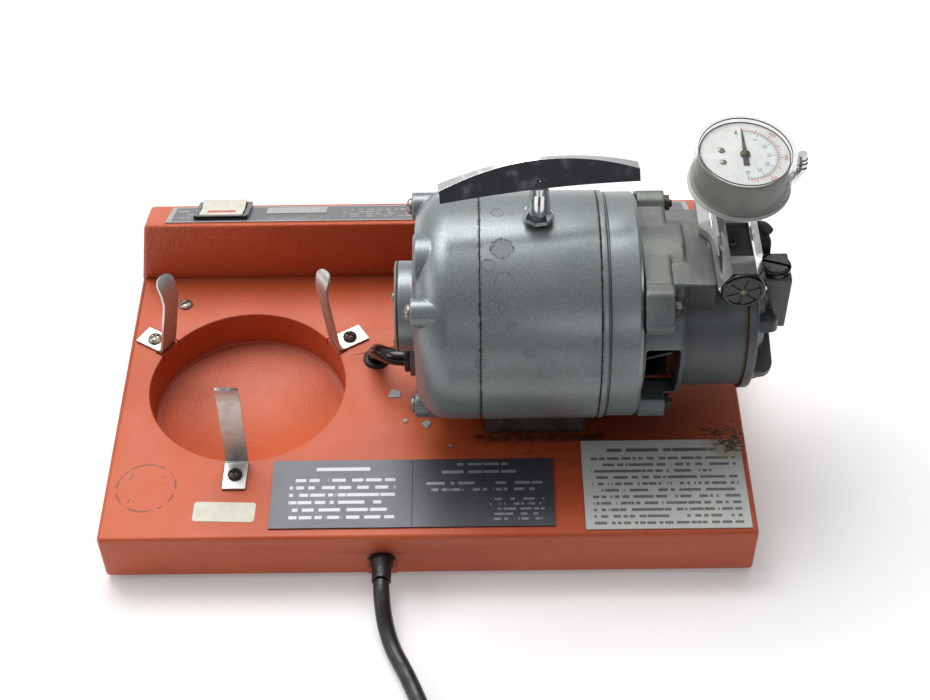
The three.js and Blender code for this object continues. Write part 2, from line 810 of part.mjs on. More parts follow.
// The valve's stem with a taper seat at its inner end, along +Y.
function valveNeedle() {
  const stem = turned(
    [
      [0, KNOB.face + 2.4],
      [2.6, KNOB.face + 2.4],
      [2.6, -28],
      [0.6, -23.5],
      [0, -23.5],
    ],
    14,
  );
  return stem.rotateX(-Math.PI / 2);
}

function regulatorKnob() {
  const { radius, face, back, hub, hubEnd } = KNOB;
  const knob = turned(
    [
      [0, face],
      [radius - 1.6, face],
      [radius, face + 1],
      [radius, back],
      [hub, back],
      [hub, hubEnd],
      [0, hubEnd],
    ],
    24,
  );
  return cut(knob, rod(3, face + 2.1, hubEnd + 5, 14)).rotateX(-Math.PI / 2);
}

function buildRegulator() {
  const group = new THREE.Group();
  group.position.set(ARM.x, 0, ARM.z);
  group.add(mesh("regulator_body", regulatorBody(), FINISH.chrome));
  group.add(mesh("regulator_needle", valveNeedle(), FINISH.brass));
  group.add(mesh("regulator_knob", regulatorKnob(), FINISH.blackPlastic));
  return group;
}

// ---- gauge, about its own upright axis ----
function gaugeCase() {
  const { caseRadius, floor } = GAUGE;
  const brim = NEEDLE.dialTop - 0.9;
  return turned(
    [
      [0, -3],
      [5, -3],
      [5, 1.1],
      [8.5, 1.1],
      [8.5, 9],
      [6, 9.5],
      [6, floor - 3],
      [27, floor - 2.4],
      [28.8, floor - 1.4],
      [28.8, floor + 1],
      [caseRadius, floor + 1.3],
      [caseRadius, brim],
      [caseRadius - 1.3, brim],
      [caseRadius - 1.3, floor + 1],
      [0, floor + 1],
    ],
    GAUGE_SIDES,
  );
}

function gaugeLens() {
  const { caseRadius, lensRadius, floor, top } = GAUGE;
  const inner = caseRadius + 0.5;
  return turned(
    [
      [0, top - 1],
      [inner, top - 1],
      [inner, floor + 1.8],
      [lensRadius, floor + 1.8],
      [lensRadius, top - 1],
      [lensRadius - 1, top],
      [0, top],
    ],
    GAUGE_SIDES,
  );
}

function gaugeNeedle() {
  const { dialTop } = NEEDLE;
  const pointer = new THREE.Shape();
  pointer.moveTo(-0.5, NEEDLE.reach);
  pointer.lineTo(-1.3, 0);
  pointer.lineTo(-1.8, -NEEDLE.tail);
  pointer.lineTo(1.8, -NEEDLE.tail);
  pointer.lineTo(1.3, 0);
  pointer.lineTo(0.5, NEEDLE.reach);
  pointer.closePath();
  const hub = rod(3, dialTop + 0.4, dialTop + 2, 12);
  return join(extruded(pointer, dialTop + 0.5, dialTop + 1.1), hub, rod(0.8, dialTop - 9, dialTop + 1, 8));
}

function buildGauge() {
  const group = new THREE.Group();
  group.position.set(GAUGE.x, GAUGE.y, GAUGE.z);
  group.rotation.set(degrees(GAUGE.tilt), degrees(GAUGE.lean), 0);
  const { dialTop } = NEEDLE;
  group.add(mesh("gauge_case", gaugeCase(), FINISH.steel));
  const dial = pipe(GAUGE.caseRadius - 0.4, 1.6, dialTop - 0.6, dialTop, GAUGE_SIDES);
  group.add(mesh("gauge_dial", dial, FINISH.paper));
  group.add(mesh("gauge_needle", gaugeNeedle(), FINISH.blackPlastic));
  group.add(mesh("gauge_lens", gaugeLens(), FINISH.clear));
  return group;
}

// ---- carrying handle ----
// An arched bar whose section is thin at the ends and deepest over the post, with a blind hole for the stud.
function handleBar() {
  const half = HANDLE.length / 2;
  const { arch, middle, width, tip } = HANDLE;
  const side = new THREE.Shape();
  side.moveTo(-half, 0);
  side.quadraticCurveTo(0, 2 * arch, half, 0);
  side.lineTo(half, tip);
  side.quadraticCurveTo(0, 2 * middle - tip, -half, tip);
  side.closePath();
  const bar = extruded(side, -width / 2, width / 2, 1, 10);
  const stud = rod(3.1, -5, arch + 5, 14);
  return cut(bar.rotateX(Math.PI / 2), stud);
}

function handlePost() {
  const foot = MOTOR.z + MOTOR.radius + GAP;
  const height = HANDLE.ends + HANDLE.arch - foot - GAP;
  return turned(
    [
      [0, 0],
      [6, 0],
      [8.2, 1.5],
      [8.9, 4],
      [8.4, 7.5],
      [6.6, 15],
      [5.4, 24],
      [5.2, height],
      [2.6, height],
      [2.6, height + 4.5],
      [0, height + 4.5],
    ],
    14,
  ).translate(0, 0, foot);
}

function buildHandle() {
  const group = new THREE.Group();
  group.position.set(HANDLE.x, HANDLE.y, 0);
  group.rotation.z = degrees(HANDLE.yaw);
  const bar = mesh("handle_bar", handleBar(), FINISH.chrome);
  bar.position.z = HANDLE.ends;
  group.add(bar, mesh("handle_post", handlePost(), FINISH.chrome));
  return group;
}

// ---- cables ----
function cordGrommet() {
  const relief = turned(
    [
      [CORD.radius + GAP, BASE_FRONT - 15.5],
      [CORD.radius + 0.8, BASE_FRONT - 15.5],
      [CORD.radius + 1.2, BASE_FRONT - 0.6],
      [CORD.radius + 1.2, BASE_FRONT + 4],
      [CORD.radius + 3.4, BASE_FRONT + 4],
      [CORD.radius + 3.4, BASE_FRONT + 9],
      [0, BASE_FRONT + 9],
      [0, BASE_FRONT - 1],
      [CORD.radius + GAP, BASE_FRONT - 1],
      [CORD.radius + GAP, BASE_FRONT - 15.5],
    ],
    20,
  );
  return relief.rotateX(-Math.PI / 2).translate(CORD.exitX, 0, CORD.exitZ);
}

// The outer shape of the wound turns, with the short straight stretches that enter and leave it.
function cordCoil() {
  const thick = COIL.across * 2 * CORD.radius;
  const tall = COIL.high * 2 * CORD.radius;
  const ring = pipe(COIL.middle + thick / 2, COIL.middle - thick / 2, 0.1, tall + 0.1, 32);
  const turn = COIL.middle + CORD.radius;
  const stub = Math.sqrt((turn + CORD.radius) ** 2 - (turn - CORD.radius) ** 2) + 2;
  const entry = rod(CORD.radius, 0, stub, 12).rotateX(-Math.PI / 2);
  entry.translate(-turn, 0, CORD.radius + 0.1);
  const exit = rod(CORD.radius, 0, stub, 12).rotateY(Math.PI / 2);
  exit.translate(0, -turn, tall - CORD.radius + 0.1);
  return join(ring, entry, exit);
}

function powerPlug() {
  const { radius, relief, body, prongs } = PLUG;
  const round = turned(
    [
      [0, 0],
      [CORD.radius + 0.8, 0],
      [CORD.radius + 2.5, relief],
      [radius - 5, relief + 4],
      [radius - 1, relief + 14],
      [radius, relief + body - 12],
      [radius, relief + body],
      [0, relief + body],
    ],
    18,
  );
  const from = relief + body - 2;
  const blades = [-6.35, 6.35].map((y) => box([-3.2, 3.2], [y - 0.8, y + 0.8], [from, from + prongs]));
  const pin = rod(2.4, from, from + prongs + 3, 10).translate(-11, 0, 0);
  return join(round, ...blades, pin).rotateY(Math.PI / 2);
}

// The motor's cable with the nut that clamps it in its gland.
function motorCable() {
  const nut = pipe(9, 4.8, MOTOR.left - 8.5, MOTOR.left - GAP, 8).rotateY(Math.PI / 2);
  const [, y, z] = MOTOR_CABLE[0];
  return join(tube(MOTOR_CABLE, 5, 12, 14), nut.translate(0, y, z));
}

function buildCables() {
  const group = new THREE.Group();
  const tall = COIL.high * 2 * CORD.radius;
  const turn = COIL.middle + CORD.radius;
  const leave = COIL.x + Math.sqrt((turn + CORD.radius) ** 2 - (turn - CORD.radius) ** 2) + 2.3;
  const [tailY, tailZ] = [COIL.y - turn, tall - CORD.radius + 0.1];
  const tail = [
    [leave, tailY, tailZ],
    [leave + 4, tailY, tailZ],
    [(leave + PLUG.start) / 2, tailY, (tailZ + PLUG.z) / 2],
    [PLUG.start - GAP - 4, tailY, PLUG.z],
    [PLUG.start - GAP, tailY, PLUG.z],
  ];
  group.add(mesh("motor_cable", motorCable(), FINISH.rubber));
  group.add(mesh("hose_nipple", tube(NIPPLE, NIPPLE_RADIUS, 12, 14), FINISH.chrome));
  group.add(mesh("cord_grommet", cordGrommet(), FINISH.rubber));
  group.add(mesh("power_cord", tube(CORD_ROUTE, CORD.radius, 12, 12), FINISH.rubber));
  group.add(mesh("cord_tail", tube(tail, CORD.radius, 12, 6), FINISH.rubber));
  const coil = mesh("cord_coil", cordCoil(), FINISH.rubber);
  coil.position.set(COIL.x, COIL.y, 0);
  const plug = mesh("power_plug", powerPlug(), FINISH.rubber);
  plug.position.set(PLUG.start, tailY, PLUG.z);
  group.add(coil, plug);
  return group;
}

const group = new THREE.Group();
group.name = "suction_pump";
const assembly = new THREE.Group();
assembly.position.x = ROOT_SHIFT;
assembly.add(buildBase(), buildPlates(), buildClips(), buildConsole());
assembly.add(buildMotor(), buildPump(), buildRegulator(), buildGauge(), buildHandle(), buildCables());
group.add(assembly);

export default group;
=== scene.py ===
"""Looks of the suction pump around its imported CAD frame, for Blender 4.5.

Lengths in the tables and shapes below are millimetres in the design frame: x from the middle of the base,
y and z as in the row frame. place() turns them into the row frame's metres.
"""
import json
import math

import bmesh
import bpy
from mathutils import Matrix, Vector

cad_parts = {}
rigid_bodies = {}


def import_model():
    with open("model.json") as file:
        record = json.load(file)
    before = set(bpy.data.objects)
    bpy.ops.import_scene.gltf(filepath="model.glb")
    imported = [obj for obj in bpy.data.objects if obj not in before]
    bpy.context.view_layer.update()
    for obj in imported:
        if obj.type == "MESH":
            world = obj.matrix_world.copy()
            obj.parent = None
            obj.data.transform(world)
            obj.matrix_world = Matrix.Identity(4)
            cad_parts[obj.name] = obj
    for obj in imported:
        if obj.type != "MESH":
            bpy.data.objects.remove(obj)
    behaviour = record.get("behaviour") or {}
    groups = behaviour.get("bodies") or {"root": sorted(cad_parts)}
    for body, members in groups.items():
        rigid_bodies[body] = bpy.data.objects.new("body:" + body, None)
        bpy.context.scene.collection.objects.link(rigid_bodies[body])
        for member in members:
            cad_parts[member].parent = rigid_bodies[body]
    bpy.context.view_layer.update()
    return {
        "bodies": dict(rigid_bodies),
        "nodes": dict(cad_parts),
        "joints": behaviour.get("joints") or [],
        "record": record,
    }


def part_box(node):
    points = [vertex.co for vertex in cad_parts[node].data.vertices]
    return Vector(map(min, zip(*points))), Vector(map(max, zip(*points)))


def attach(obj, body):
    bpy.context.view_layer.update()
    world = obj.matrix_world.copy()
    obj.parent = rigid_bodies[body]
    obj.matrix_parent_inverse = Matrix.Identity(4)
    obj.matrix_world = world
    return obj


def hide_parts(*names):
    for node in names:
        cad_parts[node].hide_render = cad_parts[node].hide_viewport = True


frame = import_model()
NODES = frame["nodes"]
MM = 0.001

base_low, base_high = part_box("base_shell")
ORIGIN_X = (base_low.x + base_high.x) / 2


def place(x, y, z):
    """A point of the design frame, in millimetres, as a point of the row frame, in metres."""
    return Vector((x * MM + ORIGIN_X, y * MM, z * MM))


# ---- driving dimensions, in millimetres ----
BASE = dict(half=190, front=-126.5, rear=126.5, deck=39.4, console=85.2, top=87, back=67, taper=8)
WELL = dict(x=-112.6, y=-9, radius=60.5, floor=13)
CLIPS = dict(left=(148.5, 9.5), right=(31.3, 4.5), front=(269.1, 4.5))
SWITCH = dict(x=-134, along=24.5)
MOTOR = dict(y=-13.2, z=112, radius=66.5, left=-5.5, seam_left=31.5, seam_right=98.5, right=121.5)
BOLTS = [(58 * math.cos(math.radians(a)), 58 * math.sin(math.radians(a)), a) for a in (48, 138, 228, 318)]
GLAND_SPOT = (45 * math.cos(math.radians(270)), 45 * math.sin(math.radians(270)))
PUMP = dict(left=122, body=144, right=180, radius=48, pad=49)
COVER = dict(radius=50, left=181.4, flange=187, top=198.5)
RIB_ANGLES = (26, 74, 152, 197, 242, 288, 333)
PORT = dict(x=198.3, y=-9.6, top=37, radius=9)
ARM = dict(x=175, z=163.4, front=-53.6)
GAUGE = dict(x=175.4, y=2, z=175, tilt=5, lean=1.7, case=25.2, lens=28.1, floor=18.5, top=43, dial=39.8)
HANDLE = dict(x=64.6, y=-12.8, yaw=8.7, length=111, width=9, ends=203, tip=6.6, arch=2.6, middle=17.7)
CORD_RADIUS = 4.75
CORD_EXIT = (-27, -142, 17)

SLOPE = math.atan2(BASE["top"] - BASE["back"], BASE["rear"] - BASE["console"])
ALONG_X = Matrix(((0, 0, 1, 0), (1, 0, 0, 0), (0, 1, 0, 0), (0, 0, 0, 1)))
UPRIGHT = Matrix.Identity(4)
MOTOR_FRAME = Matrix.Translation((0, MOTOR["y"], MOTOR["z"])) @ ALONG_X
CONSOLE_FRAME = Matrix.Translation((0, BASE["console"], BASE["top"])) @ Matrix.Rotation(-SLOPE, 4, "X")
GAUGE_FRAME = (
    Matrix.Translation((GAUGE["x"], GAUGE["y"], GAUGE["z"]))
    @ Matrix.Rotation(math.radians(GAUGE["tilt"]), 4, "X")
    @ Matrix.Rotation(math.radians(GAUGE["lean"]), 4, "Y")
)
HANDLE_FRAME = Matrix.Translation((HANDLE["x"], HANDLE["y"], 0)) @ Matrix.Rotation(
    math.radians(HANDLE["yaw"]), 4, "Z"
)


# ---- camera ----
def make_camera():
    data = bpy.data.cameras.new("camera")
    data.lens = 63.3
    data.sensor_width = 36
    camera = bpy.data.objects.new("camera", data)
    right = Vector((0.99991485, -0.00516062, -0.01198579))
    up = Vector((0.01191665, 0.73542556, 0.67750073))
    back = right.cross(up)
    camera.matrix_world = Matrix((right, up, back)).transposed().to_4x4()
    camera.location = place(27.8, -681.24, 798.43)
    bpy.context.scene.collection.objects.link(camera)
    bpy.context.scene.camera = camera


make_camera()


# ---- materials ----
class Paint:
    """A node material, with lengths in millimetres of the piece's own frame at rest."""

    def __init__(self, name, colour, roughness, metallic=0.0):
        self.material = bpy.data.materials.new(name)
        self.material.use_nodes = True
        self.nodes = self.material.node_tree.nodes
        self.links = self.material.node_tree.links
        self.shader = self.nodes["Principled BSDF"]
        self.shader.inputs["Metallic"].default_value = metallic
        self.colour = (*colour, 1.0)
        self.roughness = roughness
        self.height = None
        where = self.nodes.new("ShaderNodeTexCoord").outputs["Object"]
        self.where = self.vector("SCALE", where, scale=1 / MM)

    def put(self, socket, value):
        if isinstance(value, bpy.types.NodeSocket):
            self.links.new(value, socket)
        else:
            socket.default_value = value

    def math(self, operation, a, b=0.0, clamp=False):
        node = self.nodes.new("ShaderNodeMath")
        node.operation = operation
        node.use_clamp = clamp
        self.put(node.inputs[0], a)
        self.put(node.inputs[1], b)
        return node.outputs[0]

    def vector(self, operation, a, b=None, scale=None):
        node = self.nodes.new("ShaderNodeVectorMath")
        node.operation = operation
        self.put(node.inputs[0], a)
        if b is not None:
            self.put(node.inputs[1], b)
        if scale is not None:
            self.put(node.inputs["Scale"], scale)
        return node.outputs["Value" if operation in ("LENGTH", "DISTANCE", "DOT_PRODUCT") else "Vector"]

    def noise(self, size, detail=3.0, rough=0.5, stretch=(1, 1, 1), seed=0.0):
        node = self.nodes.new("ShaderNodeTexNoise")
        scaled = self.vector("MULTIPLY", self.where, stretch)
        self.put(node.inputs["Vector"], self.vector("ADD", scaled, (seed, seed * 0.7, -seed)))
        node.inputs["Scale"].default_value = 1 / size
        node.inputs["Detail"].default_value = detail
        node.inputs["Roughness"].default_value = rough
        return node.outputs["Fac"]

    def cells(self, size, feature="F1", seed=0.0):
        node = self.nodes.new("ShaderNodeTexVoronoi")
        node.feature = feature
        self.put(node.inputs["Vector"], self.vector("ADD", self.where, (seed, seed, seed)))
        node.inputs["Scale"].default_value = 1 / size
        return node.outputs["Distance"]

    def range(self, value, low, high, to=(0.0, 1.0)):
        node = self.nodes.new("ShaderNodeMapRange")
        node.interpolation_type = "SMOOTHSTEP"
        self.put(node.inputs["Value"], value)
        self.put(node.inputs["From Min"], low)
        self.put(node.inputs["From Max"], high)
        node.inputs["To Min"].default_value = to[0]
        node.inputs["To Max"].default_value = to[1]
        return node.outputs["Result"]

    def axis(self, index):
        node = self.nodes.new("ShaderNodeSeparateXYZ")
        self.put(node.inputs[0], self.where)
        return node.outputs[index]

    def near(self, point, reach, soft=1.0, ragged=0.0, size=3.0):
        """1 within reach of a point of the design frame, with an edge that a noise can make ragged."""
        x, y, z = place(*point) / MM
        distance = self.vector("DISTANCE", self.where, (x, y, z))
        if ragged:
            wobble = self.math("MULTIPLY", self.math("SUBTRACT", self.noise(size, 2), 0.5), ragged * 2)
            distance = self.math("ADD", distance, wobble)
        return self.range(distance, reach, reach - soft)

    def mixed(self, a, b, mask):
        node = self.nodes.new("ShaderNodeMix")
        node.data_type = "RGBA"
        self.put(node.inputs[0], mask)
        self.put(node.inputs[6], a)
        self.put(node.inputs[7], b)
        return node.outputs[2]

    def tint(self, mask, colour, strength=1.0):
        if strength != 1.0:
            mask = self.math("MULTIPLY", mask, strength)
        self.colour = self.mixed(self.colour, (*colour, 1.0), mask)
        return self

    def polish(self, mask, roughness):
        """Roughness goes to this value where the mask is 1."""
        keep = self.math("MULTIPLY", self.math("SUBTRACT", 1.0, mask), self.roughness)
        self.roughness = self.math("ADD", keep, self.math("MULTIPLY", mask, roughness))
        return self

    def relief(self, height, depth):
        scaled = self.math("MULTIPLY", height, depth)
        self.height = scaled if self.height is None else self.math("ADD", self.height, scaled)
        return self

    def crevices(self, reach):
        """Painted shade: 1 in inner corners, fading out at reach."""
        node = self.nodes.new("ShaderNodeAmbientOcclusion")
        node.samples = 6
        node.inputs["Distance"].default_value = reach * MM
        return self.math("SUBTRACT", 1.0, node.outputs["AO"])

    def done(self):
        self.put(self.shader.inputs["Base Color"], self.colour)
        self.put(self.shader.inputs["Roughness"], self.roughness)
        if self.height is not None:
            bump = self.nodes.new("ShaderNodeBump")
            bump.inputs["Distance"].default_value = MM
            self.put(bump.inputs["Height"], self.height)
            self.put(self.shader.inputs["Normal"], bump.outputs["Normal"])
        return self.material


def specks(p, size, share, colour, seed):
    """Small dots, one in every cell of this size, each a share of the cell wide."""
    p.tint(p.range(p.cells(size, seed=seed), share, share * 0.6), colour, 0.8)


def orange_paint():
    p = Paint("orange_paint", (0.54, 0.095, 0.028), 0.46)
    p.tint(p.range(p.noise(70, 3), 0.35, 0.7), (0.47, 0.07, 0.018))
    p.tint(p.range(p.noise(0.9, 2), 0.45, 0.8), (0.64, 0.13, 0.045), 0.55)
    specks(p, 24, 0.012, (0.04, 0.02, 0.015), 3.0)
    specks(p, 33, 0.011, (0.75, 0.6, 0.5), 11.0)
    wall = p.range(p.axis(2), 38, 36)
    grime = p.math(
        "MULTIPLY", p.near((76, -48, 39), 40, 12, 14, 8), p.range(p.noise(6, 5, 0.7), 0.50, 0.72)
    )
    p.tint(grime, (0.05, 0.018, 0.008), 0.75)
    # Painted shadow: a broad, soft dark-orange patch on the deck under and in front of the pump.
    p.tint(p.near((128, -52, 39), 46, 34, 10, 14), (0.20, 0.028, 0.010), 0.7)
    # A thin near-black line on the deck along the front of the motor's cradle: painted contact shadow, broken
    # by noise like soot.
    strip = p.range(p.math("ABSOLUTE", p.math("SUBTRACT", p.axis(1), MOTOR["y"] - 41)), 5, 1)
    foot_shadow_and_soot = p.math(
        "MULTIPLY", p.near((68, -54, 39), 44, 6),
        p.math("MULTIPLY", strip, p.range(p.noise(4, 5, 0.7, seed=9), 0.36, 0.54))
    )
    p.tint(foot_shadow_and_soot, (0.018, 0.010, 0.007), 0.85)
    p.tint(
        p.math("MULTIPLY", p.near((176, -60, 39), 20, 9, 12, 5), p.range(p.noise(3, 6, 0.7), 0.45, 0.6)),
        (0.03, 0.015, 0.008)
    )
    # Painted shade: the orange goes darker in inner corners.
    p.tint(p.crevices(7), (0.16, 0.03, 0.012), 0.7)
    stamp = p.vector("DISTANCE", p.where, tuple(place(-165.6, -89.1, 39.4) / MM))
    ring = p.math(
        "MULTIPLY", p.range(p.math("ABSOLUTE", p.math("SUBTRACT", stamp, 17.3)), 0.75, 0.35),
        p.range(p.noise(5, 4), 0.4, 0.52)
    )
    marks = p.math(
        "MULTIPLY", p.range(p.math("ABSOLUTE", p.math("SUBTRACT", stamp, 12.4)), 2.3, 1.6),
        p.range(p.cells(2.6, seed=5), 0.34, 0.26)
    )
    marks = p.math("MULTIPLY", marks, p.range(p.noise(7, 2, seed=4), 0.45, 0.55))
    p.tint(p.math("MAXIMUM", ring, marks), (0.10, 0.03, 0.02), 0.75)
    scuff = p.math("MULTIPLY", p.near((15, -124, 39), 20, 12), p.range(p.noise(1.3, 6, 0.8), 0.54, 0.66))
    p.tint(scuff, (0.55, 0.36, 0.30), 0.7)
    upright = p.range(p.axis(2), BASE["deck"] + 0.5, BASE["deck"] + 2.5)
    p.relief(p.noise(1.1, 1), 0.10)
    p.relief(p.math("MULTIPLY", upright, p.noise(1.9, 1, seed=2)), 0.45)
    p.relief(p.math("MULTIPLY", wall, p.noise(1.9, 1, seed=2)), 0.15)
    p.relief(p.noise(0.5, 2), 0.02)
    p.polish(p.range(p.noise(14, 4), 0.4, 0.75), 0.52)
    return p.done()


# Worn patches of the motor's paint: x along the shaft, angle round it, radius.
CHIPS = (
    (42, 83.5, 3.6), (49.5, 84, 1.8), (44, 106.5, 6.2), (36.5, 115.2, 3.8), (44.6, 123, 5.0),
    (38.6, 135.2, 3.3), (48.8, 133, 2.6), (49, 144.5, 2.9), (44, 138.5, 1.3), (31.5, 163, 3.4),
    (58.5, 158, 3.2),
    (95.8, 151.6, 2.0), (95.8, 170, 1.8),
)


def silver_paint():
    p = Paint("silver_paint", (0.215, 0.245, 0.25), 0.36, 0.45)
    p.tint(p.range(p.noise(38, 3), 0.35, 0.7), (0.18, 0.21, 0.218))
    p.tint(p.range(p.noise(0.5, 2), 0.5, 0.72), (0.46, 0.50, 0.50), 0.6)
    chips = None
    for x, angle, radius in CHIPS:
        y = MOTOR["y"] + MOTOR["radius"] * math.cos(math.radians(angle))
        z = MOTOR["z"] + MOTOR["radius"] * math.sin(math.radians(angle))
        a, b, c = place(x, y, z) / MM
        offset = p.math("DIVIDE", p.vector("DISTANCE", p.where, (a, b, c)), radius)
        chips = offset if chips is None else p.math("MINIMUM", chips, offset)
    chips = p.math("ADD", chips, p.math("MULTIPLY", p.math("SUBTRACT", p.noise(3.0, 5, 0.65), 0.5), 1.3))
    bare = p.range(chips, 1.0, 0.9)
    rim = p.math("MULTIPLY", p.range(chips, 1.14, 1.0), p.range(chips, 0.88, 1.0))
    p.tint(bare, (0.205, 0.218, 0.232), 0.8)
    p.tint(rim, (0.13, 0.14, 0.15), 0.45)
    p.polish(bare, 0.5)
    p.relief(p.math("SUBTRACT", 1.0, bare), 0.35)
    x = p.axis(0)
    for seam, width in ((MOTOR["seam_left"], 0.9), (MOTOR["seam_right"], 0.7)):
        offset = p.math("ABSOLUTE", p.math("SUBTRACT", x, place(seam, 0, 0).x / MM))
        stain = p.math(
            "MULTIPLY", p.range(offset, width * 2, width * 0.4), p.range(p.noise(3, 5, 0.7), 0.4, 0.6)
        )
        p.tint(stain, (0.05, 0.036, 0.026), 0.85)
    low = p.range(p.axis(2), 66, 50)
    p.tint(p.math("MULTIPLY", low, p.range(p.noise(9, 5, 0.65), 0.4, 0.6)), (0.11, 0.07, 0.055), 0.6)
    # Painted shade: dark brown in inner corners.
    p.tint(p.crevices(3), (0.05, 0.035, 0.022), 0.9)
    p.tint(p.range(p.noise(1.6, 5, 0.7, seed=8), 0.70, 0.76), (0.08, 0.05, 0.035), 0.7)
    p.relief(p.noise(1.0, 3), 0.035)
    p.relief(p.noise(7, 2), 0.12)
    return p.done()


def grimy_paint():
    """The cradle's paint, under old oil and dust, with painted shade in its corners."""
    p = Paint("grimy_paint", (0.085, 0.072, 0.062), 0.62, 0.1)
    p.tint(p.range(p.noise(9, 5, 0.65), 0.4, 0.62), (0.045, 0.034, 0.027))
    p.tint(p.range(p.noise(3, 5, 0.7, seed=4), 0.55, 0.68), (0.15, 0.135, 0.12), 0.6)
    # Painted shade: near black in inner corners.
    p.tint(p.crevices(6), (0.015, 0.010, 0.008), 0.95)
    p.relief(p.noise(1.4, 4), 0.12)
    return p.done()


def pump_paint():
    """Painted castings: light lantern and pad, darker cylinder and cover, rough where it was not machined."""
    p = Paint("pump_paint", (0.088, 0.098, 0.104), 0.40, 0.25)
    x = p.axis(0)
    y = p.axis(1)
    z = p.axis(2)
    edge = place(PUMP["body"] - 1, 0, 0).x / MM
    lantern = p.range(x, edge + 2.5, edge - 1.0)
    p.tint(lantern, (0.165, 0.19, 0.195))
    # Painted shade: the inside of the lantern's bore, seen through its windows, goes near black.
    across = p.math("POWER", p.math("SUBTRACT", y, MOTOR["y"]), 2)
    upward = p.math("POWER", p.math("SUBTRACT", z, MOTOR["z"]), 2)
    hollow = p.range(p.math("SQRT", p.math("ADD", across, upward)), 46.5, 44.5)
    p.tint(p.math("MULTIPLY", hollow, p.range(x, edge + 3, edge)), (0.008, 0.008, 0.008))
    pad = p.math(
        "MULTIPLY", p.range(z, MOTOR["z"] + PUMP["pad"] - 1.2, MOTOR["z"] + PUMP["pad"] - 0.4),
        p.range(x, place(COVER["left"], 0, 0).x / MM, place(COVER["left"] - 2, 0, 0).x / MM)
    )
    p.tint(pad, (0.155, 0.17, 0.155))
    scratches = p.range(p.noise(2.5, 4, 0.6, stretch=(6, 1, 1)), 0.56, 0.7)
    p.tint(p.math("MULTIPLY", pad, scratches), (0.25, 0.26, 0.24), 0.6)
    p.tint(p.math("MULTIPLY", p.near((178, -20, 161), 14, 12, 4, 4), pad), (0.17, 0.13, 0.05), 0.8)
    cast = p.math(
        "MULTIPLY", p.range(x, edge + 1, edge + 5),
        p.math("MULTIPLY", p.range(z, 161.5, 158), p.range(z, 138, 146))
    )
    cast = p.math("MULTIPLY", cast, p.range(x, place(174, 0, 0).x / MM, place(166, 0, 0).x / MM))
    p.tint(cast, (0.09, 0.10, 0.105), 0.5)
    p.relief(p.math("MULTIPLY", cast, p.noise(2.2, 4, 0.6)), 2.2)
    p.tint(p.range(p.noise(40, 3), 0.4, 0.7), (0.05, 0.058, 0.066), 0.6)
    low = p.range(z, 100, 78)
    p.tint(p.math("MULTIPLY", low, p.range(x, edge, edge + 8)), (0.10, 0.115, 0.12), 0.7)
    oil = p.range(p.noise(5, 5, 0.7, seed=2), 0.54, 0.68)
    p.tint(p.math("MULTIPLY", p.near((134, -52, 150), 26, 16), oil), (0.12, 0.085, 0.035), 0.8)
    seam = p.math("ABSOLUTE", p.math("SUBTRACT", x, place(180.6, 0, 0).x / MM))
    p.tint(
        p.math("MULTIPLY", p.range(seam, 1.6, 0.5), p.range(p.noise(2.4, 5, 0.7), 0.4, 0.55)),
        (0.10, 0.055, 0.02)
    )
    # Painted shade: near black in inner corners.
    p.tint(p.crevices(5), (0.018, 0.014, 0.010), 0.9)
    specks(p, 14, 0.02, (0.3, 0.3, 0.28), 6.0)
    p.relief(p.noise(0.9, 3), 0.05)
    p.relief(p.noise(6, 3), 0.2)
    return p.done()


def chrome():
    p = Paint("chrome", (0.80, 0.81, 0.82), 0.07, 1.0)
    p.tint(p.range(p.noise(22, 4), 0.55, 0.8), (0.62, 0.61, 0.60), 0.6)
    p.tint(p.range(p.noise(1.1, 4, 0.7, seed=5), 0.70, 0.76), (0.16, 0.12, 0.09), 0.6)
    p.polish(p.range(p.noise(9, 4, seed=2), 0.48, 0.72), 0.17)
    p.relief(p.noise(16, 2), 0.10)
    return p.done()


def leaf_chrome():
    """The clips' plating, dulled by handling."""
    p = Paint("leaf_chrome", (0.66, 0.65, 0.63), 0.34, 0.75)
    p.tint(p.range(p.noise(6, 4), 0.45, 0.7), (0.50, 0.48, 0.46), 0.7)
    p.tint(p.range(p.noise(1.2, 4, 0.7, seed=5), 0.68, 0.75), (0.20, 0.15, 0.11), 0.6)
    # Painted shade: dark brown in inner corners.
    p.tint(p.crevices(3), (0.06, 0.04, 0.03), 0.8)
    p.relief(p.noise(10, 2), 0.06)
    return p.done()


def steel(name, colour, dirt, rough=0.35):
    p = Paint(name, colour, rough, 0.95)
    p.tint(p.range(p.noise(1.6, 5, 0.65), 0.45, 0.68), dirt, 0.85)
    # Painted shade: dark brown in inner corners.
    p.tint(p.crevices(1.6), (0.03, 0.022, 0.015), 0.95)
    p.polish(p.range(p.noise(2, 3), 0.4, 0.7), 0.6)
    p.relief(p.noise(0.7, 3), 0.04)
    return p.done()


def turned_steel():
    """The gauge's case, with fine rings round its axis."""
    p = Paint("turned_steel", (0.62, 0.62, 0.60), 0.42, 0.25)
    p.tint(p.range(p.noise(2.0, 3, 0.6, stretch=(0.25, 0.25, 5)), 0.4, 0.7), (0.50, 0.50, 0.48))
    p.tint(p.range(p.noise(16, 3), 0.4, 0.7), (0.44, 0.43, 0.40), 0.5)
    # Painted shade: dark brown in inner corners.
    p.tint(p.crevices(2.5), (0.06, 0.05, 0.035), 0.9)
    p.relief(p.noise(0.8, 2, stretch=(0.25, 0.25, 8)), 0.03)
    return p.done()


